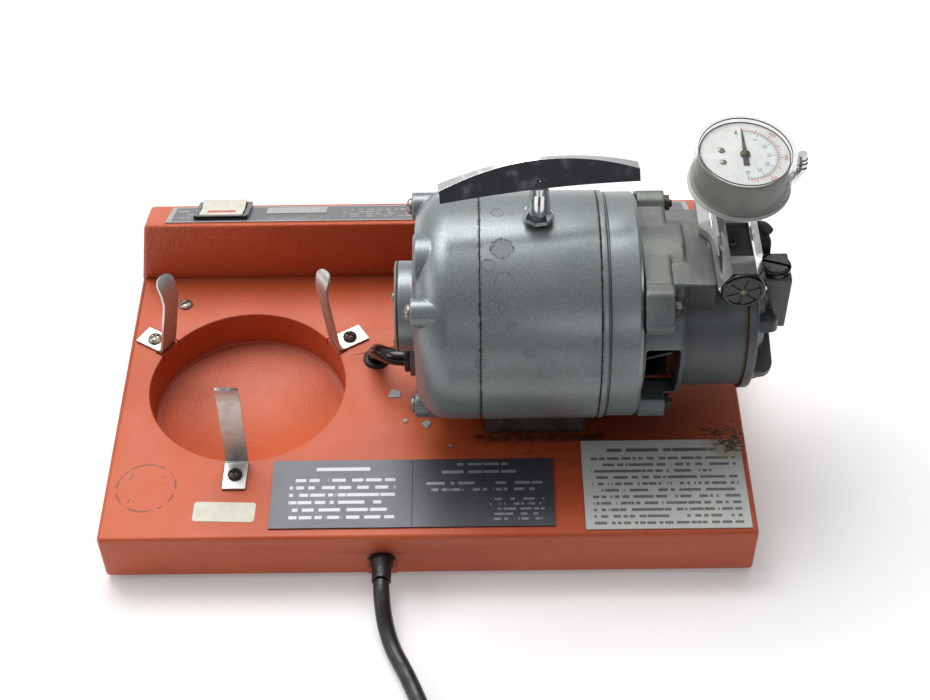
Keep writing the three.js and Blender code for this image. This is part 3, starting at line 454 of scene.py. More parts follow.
def rubber(name="black_rubber", colour=(0.012, 0.012, 0.013), rough=0.34):
    p = Paint(name, colour, rough)
    p.tint(p.range(p.noise(9, 5, 0.6), 0.5, 0.75), (0.045, 0.043, 0.040), 0.7)
    p.polish(p.range(p.noise(5, 4), 0.4, 0.7), rough + 0.18)
    p.relief(p.noise(1.1, 3), 0.03)
    return p.done()


def moulding(name, colour, rough, grain=0.015):
    p = Paint(name, colour, rough)
    p.tint(p.range(p.noise(6, 4), 0.45, 0.75), tuple(c * 0.82 for c in colour), 0.7)
    # Painted shade: the moulding's own colour, darker in inner corners.
    p.tint(p.crevices(1.5), tuple(c * 0.35 for c in colour), 0.7)
    p.polish(p.range(p.noise(3, 4), 0.45, 0.7), min(rough + 0.15, 1))
    p.relief(p.noise(0.6, 3), grain)
    return p.done()


def ruled_lines(p, low, high, rows, colour, ragged=3.2, fill=0.52, strength=0.75):
    """Generic rows of short dashes inside a rectangle of the design frame, in place of any lettering."""
    x, y = p.axis(0), p.axis(1)
    x0, x1 = (place(v, 0, 0).x / MM for v in (low[0], high[0]))
    pitch = (high[1] - low[1]) / rows
    row = p.math("DIVIDE", p.math("SUBTRACT", y, low[1]), pitch)
    within = p.math("FRACT", row)
    line = p.math("MULTIPLY", p.range(within, 0.26, 0.32), p.range(within, 0.74, 0.68))
    inside = p.math("MULTIPLY", p.range(x, x0, x0 + 0.3), p.range(x, x1, x1 - 0.3))
    inside = p.math(
        "MULTIPLY", inside,
        p.math("MULTIPLY", p.range(y, low[1], low[1] + 0.1), p.range(y, high[1], high[1] - 0.1))
    )
    step = p.nodes.new("ShaderNodeCombineXYZ")
    p.put(step.inputs[0], p.math("DIVIDE", x, ragged))
    p.put(step.inputs[1], p.math("MULTIPLY", p.math("FLOOR", row), 7.31))
    dash = p.nodes.new("ShaderNodeTexNoise")
    dash.inputs["Scale"].default_value = 1.0
    dash.inputs["Detail"].default_value = 1.0
    p.put(dash.inputs["Vector"], step.outputs[0])
    words = p.range(dash.outputs["Fac"], fill - 0.02, fill + 0.02, (1.0, 0.0))
    p.tint(p.math("MULTIPLY", p.math("MULTIPLY", line, inside), words), colour, strength)


def dark_plate():
    p = Paint("dark_plate", (0.060, 0.061, 0.075), 0.36, 0.35)
    p.tint(p.range(p.noise(1.6, 3, 0.6, stretch=(0.2, 4, 1)), 0.4, 0.7), (0.085, 0.086, 0.10), 0.7)
    p.tint(p.range(p.noise(30, 4), 0.4, 0.7), (0.10, 0.10, 0.12), 0.5)
    white = (0.42, 0.42, 0.44)
    ruled_lines(p, (-66, -80.5), (-34, -74.5), 1, white, 30, 0.9)
    ruled_lines(p, (-81, -115.5), (-19, -83), 6, white, 5.5, 0.56)
    ruled_lines(p, (17, -77), (47, -72.5), 1, white, 5, 0.6)
    ruled_lines(p, (8, -83), (52, -78), 1, white, 5, 0.6)
    ruled_lines(p, (-2, -96), (68, -86.5), 2, white, 6, 0.5)
    ruled_lines(p, (36, -117), (68, -99), 5, white, 4, 0.5)
    scratch = p.range(p.noise(1.2, 5, 0.7, stretch=(1, 0.3, 1), seed=3), 0.70, 0.76)
    p.tint(scratch, (0.3, 0.3, 0.32), 0.5)
    p.relief(p.noise(0.5, 2, stretch=(0.2, 4, 1)), 0.01)
    return p.done()


def console_strip():
    p = Paint("console_strip", (0.115, 0.112, 0.125), 0.38, 0.3)
    p.tint(p.range(p.noise(1.8, 3, 0.6, stretch=(0.2, 3, 1)), 0.4, 0.7), (0.15, 0.147, 0.16), 0.7)
    x, y = p.axis(0), p.axis(1)
    run = p.math("SUBTRACT", y, BASE["console"])
    for edge in (4.9, 33.2):
        offset = p.math("ABSOLUTE", p.math("SUBTRACT", run, edge))
        p.tint(p.range(offset, 0.7, 0.45), (0.42, 0.42, 0.43))
    for edge in (-168, 167.5, 152):
        offset = p.math("ABSOLUTE", p.math("SUBTRACT", x, place(edge, 0, 0).x / MM))
        p.tint(p.range(offset, 2.6, 2.2), (0.36, 0.36, 0.37))
    ruled_lines(p, (-56, 95), (6, 113), 4, (0.38, 0.38, 0.40), 5, 0.5)
    ruled_lines(p, (-104, 91), (-64, 97), 2, (0.38, 0.38, 0.40), 4, 0.5)
    ruled_lines(p, (-164, 95), (-152, 114), 3, (0.38, 0.38, 0.40), 4, 0.5)
    p.relief(p.noise(0.5, 2, stretch=(0.2, 3, 1)), 0.01)
    return p.done()


def white_plate():
    p = Paint("white_plate", (0.60, 0.62, 0.585), 0.42)
    p.tint(p.range(p.noise(28, 4), 0.4, 0.7), (0.53, 0.56, 0.54), 0.7)
    ink = (0.055, 0.055, 0.06)
    ruled_lines(p, (106, -68.5), (172, -62.5), 1, ink, 5.5, 0.62, 0.85)
    ruled_lines(p, (96, -121.5), (182, -69.5), 11, ink, 3.4, 0.55, 0.8)
    burn = p.math(
        "MULTIPLY", p.near((181, -57, 40), 13, 5, 9, 4), p.range(p.noise(2.2, 6, 0.7), 0.40, 0.56)
    )
    p.tint(p.near((181, -57, 40), 20, 10, 8, 6), (0.40, 0.33, 0.22), 0.7)
    p.tint(burn, (0.05, 0.028, 0.012), 0.95)
    p.relief(burn, 0.2)
    p.relief(p.noise(0.8, 2), 0.008)
    return p.done()


def paper(name, colour):
    p = Paint(name, colour, 0.55)
    p.tint(p.range(p.noise(5, 4), 0.4, 0.7), tuple(c * 0.88 for c in colour), 0.7)
    p.relief(p.noise(0.8, 3), 0.01)
    return p.done()


def clear_plastic():
    p = Paint("clear_plastic", (0.50, 0.50, 0.47), 0.06)
    p.polish(p.range(p.noise(6, 4), 0.5, 0.75), 0.16)
    middle = GAUGE_FRAME @ Vector((0, 0, GAUGE["top"]))
    reach = p.vector("DISTANCE", p.where, tuple(place(*middle) / MM))
    wall = p.range(reach, GAUGE["case"] + 0.2, GAUGE["lens"] - 0.4)
    haze = p.range(p.noise(5, 4), 0.35, 0.75, (0.02, 0.08))
    p.put(p.shader.inputs["Alpha"], p.math("ADD", haze, p.math("MULTIPLY", wall, 0.20)))
    return p.done()


MATERIAL = dict(
    orange=orange_paint(), silver=silver_paint(), grimy=grimy_paint(), casting=pump_paint(),
    chrome=chrome(), leaf=leaf_chrome(),
    screw=steel("screw_steel", (0.42, 0.39, 0.34), (0.10, 0.055, 0.03)),
    dark_bolt=steel("oily_bolt", (0.10, 0.09, 0.08), (0.02, 0.014, 0.010), 0.45),
    bright=steel("bright_steel", (0.50, 0.50, 0.49), (0.30, 0.29, 0.27), 0.28),
    plug=steel("plug_steel", (0.16, 0.165, 0.17), (0.11, 0.11, 0.11), 0.3),
    copper=steel("windings", (0.36, 0.15, 0.06), (0.12, 0.06, 0.03), 0.4),
    brass=steel("brass", (0.55, 0.42, 0.20), (0.26, 0.17, 0.07), 0.3),
    turned=turned_steel(), rubber=rubber(), bushing=rubber("bushing_rubber", (0.010, 0.010, 0.010), 0.5),
    black=moulding("black_moulding", (0.006, 0.006, 0.007), 0.14),
    white=moulding("white_moulding", (0.60, 0.60, 0.52), 0.35),
    cream=moulding("cream_inlay", (0.26, 0.23, 0.12), 0.4),
    red=moulding("indicator_red", (0.55, 0.12, 0.10), 0.2),
    carbon=moulding("pressed_carbon", (0.02, 0.02, 0.02), 0.5),
    gasket=moulding("oily_fibre", (0.07, 0.04, 0.018), 0.7, 0.05),
    panel=moulding("dark_panel", (0.022, 0.025, 0.028), 0.28),
    dark_plate=dark_plate(), strip=console_strip(), white_plate=white_plate(),
    label=paper("label_paper", (0.66, 0.65, 0.55)),
    foil=steel("foil_label", (0.52, 0.52, 0.53), (0.38, 0.38, 0.39), 0.3),
    dial=paper("dial_face", (0.70, 0.735, 0.72)), ink_red=paper("red_ink", (0.50, 0.10, 0.05)),
    ink_blue=paper("blue_ink", (0.05, 0.17, 0.34)), pointer=paper("pointer_black", (0.02, 0.02, 0.022)),
    flake=paper("paint_flake", (0.38, 0.41, 0.41)), clear=clear_plastic(),
)


# ---- outlines, in millimetres ----
def rounded(corners, closed=True, steps=6):
    """A line through [x, y, radius] corners, with an arc at each corner that has a radius."""
    line = []
    count = len(corners)
    for i, corner in enumerate(corners):
        here = Vector(corner[:2])
        radius = corner[2] if len(corner) > 2 else 0
        if radius == 0 or (not closed and i in (0, count - 1)):
            line.append(tuple(here))
            continue
        before = Vector(corners[i - 1][:2]) - here
        after = Vector(corners[(i + 1) % count][:2]) - here
        half = before.angle(after) / 2
        run = min(radius / math.tan(half), before.length * 0.49, after.length * 0.49)
        start = here + before.normalized() * run
        end = here + after.normalized() * run
        middle = here + (before.normalized() + after.normalized()).normalized() * run / math.cos(half)
        turn = (start - middle).angle_signed(end - middle)
        for k in range(steps + 1):
            spoke = (start - middle).to_3d()
            spoke.rotate(Matrix.Rotation(-turn * k / steps, 3, "Z"))
            line.append((middle.x + spoke.x, middle.y + spoke.y))
    return line


def arc(x, y, radius, start, end, steps=12):
    angles = (math.radians(start + (end - start) * i / steps) for i in range(steps + 1))
    return [(x + radius * math.cos(a), y + radius * math.sin(a)) for a in angles]


def smooth_line(points, steps=8):
    """Points of a curve that runs smoothly through the given ones."""
    points = [Vector(p) for p in points]
    ends = [points[0] * 2 - points[1], *points, points[-1] * 2 - points[-2]]
    line = []
    for a, b, c, d in zip(ends, ends[1:], ends[2:], ends[3:]):
        for k in range(steps):
            t = k / steps
            line.append(
                0.5 * (
                    (2 * b) + (c - a) * t + (
                        2 * a - 5 * b + 4 * c - d
                    ) * t**2 + (3 * b - a - 3 * c + d) * t**3
                )
            )
    return [*line, points[-1]]


# ---- shapes: (vertices, faces) in millimetres ----
def lathe(profile, sides=96, closed=False):
    """[radius, height] points turned about Z. A closed profile joins its last point to its first."""
    verts, rings = [], []
    for radius, height in profile:
        if radius < 1e-6:
            rings.append([len(verts)] * sides)
            verts.append((0, 0, height))
            continue
        rings.append(list(range(len(verts), len(verts) + sides)))
        angles = (2 * math.pi * k / sides for k in range(sides))
        verts += [(radius * math.cos(a), radius * math.sin(a), height) for a in angles]
    faces = []
    pairs = list(zip(rings, rings[1:])) + ([(rings[-1], rings[0])] if closed else [])
    for a, b in pairs:
        for k in range(sides):
            corners = (a[k], a[(k + 1) % sides], b[(k + 1) % sides], b[k])
            faces.append(tuple(dict.fromkeys(corners)))
    return verts, faces


def rod(radius, low, high, sides=48):
    return lathe([(0, low), (radius, low), (radius, high), (0, high)], sides)


def pipe(outer, inner, low, high, sides=96):
    return lathe([(inner, low), (outer, low), (outer, high), (inner, high)], sides, closed=True)


def prism(outline, low, high):
    """A flat outline in X and Y drawn out along Z."""
    count = len(outline)
    verts = [(x, y, low) for x, y in outline] + [(x, y, high) for x, y in outline]
    sides = [(i, (i + 1) % count, count + (i + 1) % count, count + i) for i in range(count)]
    return verts, [tuple(range(count)), tuple(range(count, 2 * count)), *sides]


def block(x, y, z):
    return prism([(x[0], y[0]), (x[1], y[0]), (x[1], y[1]), (x[0], y[1])], *z)


def sweep(points, radii, sides=24):
    """A round bar along points, its radius at each given or the same all along."""
    points = [Vector(p) for p in points]
    if not hasattr(radii, "__len__"):
        radii = [radii] * len(points)
    verts, rings = [(*points[0],)], []
    normal = (points[1] - points[0]).orthogonal().normalized()
    for i, (point, radius) in enumerate(zip(points, radii)):
        ahead = (points[min(i + 1, len(points) - 1)] - points[max(i - 1, 0)]).normalized()
        normal = (normal - ahead * normal.dot(ahead)).normalized()
        side = ahead.cross(normal)
        rings.append(list(range(len(verts), len(verts) + sides)))
        angles = (2 * math.pi * k / sides for k in range(sides))
        verts += [(*(point + (normal * math.cos(a) + side * math.sin(a)) * radius),) for a in angles]
    verts.append((*points[-1],))
    faces = [(0, rings[0][(k + 1) % sides], rings[0][k]) for k in range(sides)]
    faces += [(len(verts) - 1, rings[-1][k], rings[-1][(k + 1) % sides]) for k in range(sides)]
    for a, b in zip(rings, rings[1:]):
        faces += [(a[k], a[(k + 1) % sides], b[(k + 1) % sides], b[k]) for k in range(sides)]
    return verts, faces


def moved(shape, matrix):
    return [(*(matrix @ Vector(v)),) for v in shape[0]], shape[1]


def both(*shapes):
    """Several shapes as one, each keeping its own skin."""
    verts, faces = [], []
    for more, sides in shapes:
        faces += [tuple(i + len(verts) for i in face) for face in sides]
        verts += more
    return verts, faces


def at(x=0, y=0, z=0, turn=0, axis="Z"):
    return Matrix.Translation((x, y, z)) @ Matrix.Rotation(math.radians(turn), 4, axis)


# ---- pieces ----
def raw(name, shape, frame=UPRIGHT):
    mesh = bpy.data.meshes.new(name)
    mesh.from_pydata([place(*(frame @ Vector(v))) for v in shape[0]], [], shape[1])
    solid = bmesh.new()
    solid.from_mesh(mesh)
    bmesh.ops.remove_doubles(solid, verts=solid.verts, dist=1e-7)
    bmesh.ops.recalc_face_normals(solid, faces=solid.faces)
    solid.to_mesh(mesh)
    solid.free()
    piece = bpy.data.objects.new(name, mesh)
    bpy.context.scene.collection.objects.link(piece)
    return piece


def settle(piece):
    """Makes a piece's modifiers part of its mesh."""
    graph = bpy.context.evaluated_depsgraph_get()
    mesh = bpy.data.meshes.new_from_object(piece.evaluated_get(graph))
    piece.modifiers.clear()
    piece.data = mesh
    return piece


def boolean(piece, operation, shapes, frame=UPRIGHT):
    for shape in shapes:
        tool = raw("tool", shape, frame)
        step = piece.modifiers.new("boolean", "BOOLEAN")
        step.operation = operation
        step.solver = "MANIFOLD"
        step.object = tool
        settle(piece)
        bpy.data.objects.remove(tool)
    return piece


def bevel(piece, width, segments=3, angle=30):
    step = piece.modifiers.new("bevel", "BEVEL")
    step.width = width * MM
    step.segments = segments
    step.limit_method = "ANGLE"
    step.angle_limit = math.radians(angle)
    step.harden_normals = True
    return piece


def cast(piece, voxel, rounds):
    """Melts the joins of a casting's shapes into fillets."""
    step = piece.modifiers.new("remesh", "REMESH")
    step.mode = "VOXEL"
    step.voxel_size = voxel * MM
    blur = piece.modifiers.new("smooth", "SMOOTH")
    blur.factor = 0.5
    blur.iterations = rounds
    return settle(piece)


def trim(piece, axis, limit, keep_low=True):
    """Cuts a casting flat at a machined face, across one axis of the design frame."""
    normal = Vector((0, 0, 0))
    normal[axis] = 1 if keep_low else -1
    spot = [0, 0, 0]
    spot[axis] = limit
    solid = bmesh.new()
    solid.from_mesh(piece.data)
    everything = [*solid.verts, *solid.edges, *solid.faces]
    cut = bmesh.ops.bisect_plane(
        solid, geom=everything, plane_co=place(*spot), plane_no=normal, clear_outer=True
    )
    rim = [e for e in cut["geom_cut"] if isinstance(e, bmesh.types.BMEdge)]
    bmesh.ops.triangle_fill(solid, use_beauty=True, edges=rim)
    bmesh.ops.recalc_face_normals(solid, faces=solid.faces)
    solid.to_mesh(piece.data)
    solid.free()
    return piece


def finish_piece(piece, look, body="base", nodes=(), sharp=32):
    """Shades, paints and attaches a piece, and lets it stand for its CAD nodes."""
    piece.data.materials.clear()
    piece.data.materials.append(MATERIAL[look])
    piece.data.shade_smooth()
    piece.data.set_sharp_from_angle(angle=math.radians(sharp))
    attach(piece, body)
    if nodes:
        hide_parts(*nodes)
    return piece


def piece(name, shape, look, frame=UPRIGHT, body="base", nodes=(), edge=0.0, segments=3, sharp=32):
    made = raw(name, shape, frame)
    if edge:
        bevel(made, edge, segments)
    return finish_piece(made, look, body, nodes, sharp)


def keep(node, look, edge=0.0):
    """Leaves a CAD node in view with a material of its own, its edges broken if a width is given."""
    shown = NODES[node]
    shown.data.materials.clear()
    shown.data.materials.append(MATERIAL[look])
    if edge:
        bevel(shown, edge, 2)


# ---- base ----
def console_inset(z):
    return max(0, z - BASE["deck"]) * BASE["taper"] / (BASE["top"] - BASE["deck"])


def housing():
    front, rear, deck, console = BASE["front"], BASE["rear"], BASE["deck"], BASE["console"]
    shell = raw("housing", block((-BASE["half"], BASE["half"]), (front, rear), (3, deck)))
    settle(bevel(shell, 2.8, 6))
    side = [
        (console, 12), (rear, 12), (rear, deck), (rear, BASE["back"]), (console, BASE["top"]),
        (console, deck)
    ]
    verts = [(s * (BASE["half"] - console_inset(z)), y, z) for s in (-1, 1) for y, z in side]
    around = [(i, (i + 1) % 6, 6 + (i + 1) % 6, 6 + i) for i in range(6)]
    ends = [(0, 1, 2, 5), (2, 3, 4, 5), (6, 7, 8, 11), (8, 9, 10, 11)]
    upper = raw("console_block", (verts, around + ends))
    settle(bevel(upper, 2.8, 6, 25))
    step = shell.modifiers.new("boolean", "BOOLEAN")
    step.operation = "UNION"
    step.solver = "MANIFOLD"
    step.object = upper
    settle(shell)
    bpy.data.objects.remove(upper)
    floor, radius, top = WELL["floor"], WELL["radius"], deck
    well = [(0, floor), (radius - 4.4, floor), (radius - 4.0, floor + 0.5), (radius - 1.5, floor + 0.5)]
    well += arc(radius - 1.5, floor + 2.0, 1.5, -90, 0, 5) + arc(radius + 0.8, top - 0.8, 0.8, 180, 90, 5)
    well += [(radius + 0.8, top + 9), (0, top + 9)]
    tools = [moved(lathe(well, 180), at(WELL["x"], WELL["y"], 0))]
    for angle, _ in (CLIPS["left"], CLIPS["right"]):
        snick = block((radius - 3, radius + 5.5), (-8.2, -7.1), (deck - 5, deck + 5))
        other = block((radius - 3, radius + 5.5), (7.1, 8.2), (deck - 5, deck + 5))
        tools += [moved(s, at(WELL["x"], WELL["y"], 0) @ at(turn=angle)) for s in (snick, other)]
    notch = rounded([(-8.4, -20), (8.4, -20), (8.4, 6.8, 6.2), (-8.4, 6.8, 6.2)])
    tools.append(moved(prism(notch, -6, 12), at(CORD_EXIT[0], front, CORD_EXIT[2]) @ at(turn=90, axis="X")))
    tools.append(moved(rod(7, 20, 50), at(-33, 11, 0)))
    tools.append(
        moved(
            block((-15.2, 15.2), (-14.6, 14.6), (-12.6, 10)),
            CONSOLE_FRAME @ at(SWITCH["x"], SWITCH["along"], 0)
        )
    )
    boolean(shell, "DIFFERENCE", tools)
    finish_piece(shell, "orange", nodes=["base_shell", "well_pan"], sharp=28)


def cord_notch():
    """The tab below the cord's hole, with the black bushing in the rounded notch."""
    x, front, z = CORD_EXIT[0], BASE["front"], CORD_EXIT[2]
    tab = block((x - 8.6, x + 8.4), (front + 0.1, front + 2.2), (3.3, 10.2))
    piece("cord_tab", tab, "orange", edge=0.4)
    arch = rounded([(-8.2, -9.5), (8.2, -9.5), (8.2, 6.6, 6), (-8.2, 6.6, 6)])
    frame = at(x, front, z) @ at(turn=90, axis="X")
    bushing = raw("cord_bushing", prism(arch, -9, -0.6), frame)
    boolean(bushing, "DIFFERENCE", [rod(CORD_RADIUS + 1.0, -20, 20)], frame)
    bevel(bushing, 0.5)
    finish_piece(bushing, "bushing")
    collar = [
        (CORD_RADIUS + 0.1, 0.2), (CORD_RADIUS + 2.2, 0.2), (CORD_RADIUS + 2.0, 4),
        (CORD_RADIUS + 0.9, 6), (CORD_RADIUS + 0.9, 15), (CORD_RADIUS + 0.1, 15.3)
    ]
    piece(
        "strain_relief", lathe(collar, 48, closed=True), "rubber", frame, nodes=["cord_grommet"],
        edge=0.25
    )


def foot(name, x, y):
    profile = rounded([(0, 0), (8, 0, 1.2), (9.9, 2.95, 0.4), (0, 2.95)], closed=False)
    return piece(name, lathe(profile, 48), "rubber", at(x, y, 0), nodes=[name])


def pan_head(radius, height):
    return rounded(
        [
            (radius, 0), (radius, height * 0.5, radius * 0.35), (radius * 0.55, height, radius * 0.6),
            (0, height)
        ],
        closed=False
    )


def screw(name, frame, radius=4.3, height=2.7, look="screw", drive="cross", turn=20, nodes=(), body="base"):
    head = [(0, -3), (1.8, -3), (1.8, 0), *pan_head(radius, height)]
    made = raw(name, lathe(head, 48), frame)
    width = radius * 0.14
    reach = radius * 0.62 if drive == "cross" else radius * 2
    bars = [block((-reach, reach), (-width, width), (height * 0.45, height * 2))]
    if drive == "cross":
        bars.append(block((-width, width), (-reach, reach), (height * 0.45, height * 2)))
    boolean(made, "DIFFERENCE", bars, frame @ at(turn=turn))
    bevel(made, 0.18, 2)
    return finish_piece(made, look, body, nodes)


def base():
    housing()
    cord_notch()
    keep("bottom_plate", "orange", 0.4)
    for i, (x, y) in enumerate([(-168, -106), (168, -106), (-168, 106), (168, 106)]):
        foot(f"foot_{i + 1}", x, y)
    screw(
        "deck_screw", at(-158.7, 60.8, BASE["deck"]), 4.4, 2.3, drive="slot", turn=35,
        nodes=["deck_screw"]
    )
    keep("plate_left", "dark_plate", 0.25)
    keep("plate_right", "dark_plate", 0.25)
    keep("instruction_plate", "white_plate", 0.25)
    deck = BASE["deck"]
    sticker = rounded([(-18, -7, 2), (18, -7, 2), (18, 7, 2), (-18, 7, 2)])
    piece("deck_label", prism(sticker, 0, 0.2), "label", at(-118, -107.4, deck + 0.02) @ at(turn=-2))
    foil = block((-19.5, 19.5), (-6.5, 6.5), (0.95, 1.1))
    piece("console_label", foil, "foil", CONSOLE_FRAME @ at(-86.5, 27.5, 0) @ at(turn=1))
    for i, (x, y, size, turn) in enumerate(
        [(-21.7, -18.5, 4.2, 10), (-1.4, -43, 3.2, 70), (-14.3, -40, 1.8, 40), (13, -60, 1.2, 0)]
    ):
        shard = prism(
            [(-size, -size * 0.5), (size * 0.8, -size * 0.7), (size, size * 0.3), (-size * 0.2, size)],
            0, 0.5
        )
        piece(f"paint_flake_{i + 1}", shard, "flake", at(x, y, deck + 0.05) @ at(turn=turn))


# ---- bottle clips ----
def clip(name, angle, lean):
    """A spring leaf: flat foot, upright leaning into the well, top curled outwards with rounded corners."""
    inner, outer, tall, thick, width = 61.5, 82.5, 66, 1.5, 13.6
    line = [
        (outer, 0, thick / 2), (inner + 8, 0, thick / 2), (inner + 3.5, 0, thick / 2 + 0.05),
        (inner + 1.3, 0, thick / 2 + 0.7)
    ]
    line += [
        (inner, 0, thick / 2 + 3.2), (inner - lean * 0.45, 0, tall * 0.35),
        (inner - lean, 0, tall * 0.70)
    ]
    line += [
        (inner - lean - 0.3, 0, tall * 0.80), (inner - lean + 0.4, 0, tall * 0.89),
        (inner - lean + 2.2, 0, tall * 0.955), (inner - lean + 4.6, 0, tall - 0.4)
    ]
    points = smooth_line(line, 8)
    run = [0.0]
    for a, b in zip(points, points[1:]):
        run.append(run[-1] + (b - a).length)
    verts, across = [], 8
    for i, point in enumerate(points):
        ahead = (points[min(i + 1, len(points) - 1)] - points[max(i - 1, 0)]).normalized()
        out = Vector((-ahead.z, 0, ahead.x))
        left = run[-1] - run[i]
        corner = 6.2
        half = width / 2 - (
            corner - math.sqrt(max(0, corner**2 - (corner - left) ** 2)) if left < corner else 0
        )
        rows = [(-half + 2 * half * k / across) for k in range(across + 1)]
        verts += [(*(point + Vector((0, y, 0)) + out * thick / 2),) for y in rows]
        verts += [(*(point + Vector((0, y, 0)) - out * thick / 2),) for y in reversed(rows)]
    ring = 2 * (across + 1)
    faces = [tuple(range(ring)), tuple(range(len(verts) - ring, len(verts)))]
    for i in range(len(points) - 1):
        a, b = i * ring, (i + 1) * ring
        faces += [(a + k, a + (k + 1) % ring, b + (k + 1) % ring, b + k) for k in range(ring)]
    frame = at(WELL["x"], WELL["y"], BASE["deck"] + 0.2) @ at(turn=angle)
    piece("clip_leaf_" + name, (verts, faces), "leaf", frame, nodes=["clip_" + name], edge=0.35)
    look = "screw" if name == "left" else "dark_bolt"
    screw(
        "clip_fixing_" + name, frame @ at(72.5, 0, thick + 0.05), 4.3, 2.8, look, turn=angle,
        nodes=["clip_screw_" + name]
    )


# ---- console ----
def console():
    strip = raw("console_strip", block((-169, 168.5), (4.6, 37.8), (0.05, 0.9)), CONSOLE_FRAME)
    boolean(
        strip, "DIFFERENCE", [block((-15.2, 15.2), (-14.6, 14.6), (-5, 5))],
        CONSOLE_FRAME @ at(SWITCH["x"], SWITCH["along"], 0)
    )
    bevel(strip, 0.2, 2)
    finish_piece(strip, "strip", nodes=["console_plate"])
    frame = CONSOLE_FRAME @ at(SWITCH["x"], SWITCH["along"], 0)
    outer = rounded([(-17.5, -16.5, 2.2), (17.5, -16.5, 2.2), (17.5, 16.5, 2.2), (-17.5, 16.5, 2.2)])
    bezel = raw("switch_bezel", prism(outer, 0.95, 3.6), frame)
    boolean(bezel, "UNION", [block((-14.9, 14.9), (-14.3, 14.3), (-12, 2))], frame)
    boolean(bezel, "DIFFERENCE", [block((-14.35, 14.35), (-13.75, 13.75), (-11, 10))], frame)
    bevel(bezel, 0.7, 4)
    finish_piece(bezel, "black", nodes=["switch_housing"])
    half, width = 12.9, 13.9
    side = rounded(
        [
            (-half + 2.6, -5), (half - 2.6, -5), (half, 3.4, 0.9), (half - 1.2, 4.9, 1.2),
            (0, 3.6, 9), (-half + 1.5, 6.4, 1.2), (-half, 5.2, 0.9)
        ]
    )
    tilted = frame @ at(turn=10, axis="X")
    rocker = raw("rocker", moved(prism(side, -width, width), ALONG_X), tilted)
    lamp = block((-9, 9), (-9.6, -6.2), (4.9, 9))
    boolean(rocker, "DIFFERENCE", [lamp], tilted)
    bevel(rocker, 0.45)
    finish_piece(rocker, "white", "switch_rocker", ["switch_rocker"])
    slot = rounded([(-8.9, -9.5, 0.6), (8.9, -9.5, 0.6), (8.9, -6.3, 0.6), (-8.9, -6.3, 0.6)])
    piece("rocker_lamp", prism(slot, 4.9, 5.9), "red", tilted, "switch_rocker", edge=0.3)


# ---- motor ----
def bell_profile(inner_left):
    radius, left, seam = MOTOR["radius"], MOTOR["left"], MOTOR["seam_left"]
    neck = [(0, inner_left), (26.5, inner_left), (26.5, left - 1.5), (28.5, left)]
    return [*neck, *arc(radius - 20, left + 20, 20, -90, 0, 24), (radius, seam + 4), (0, seam + 4)]


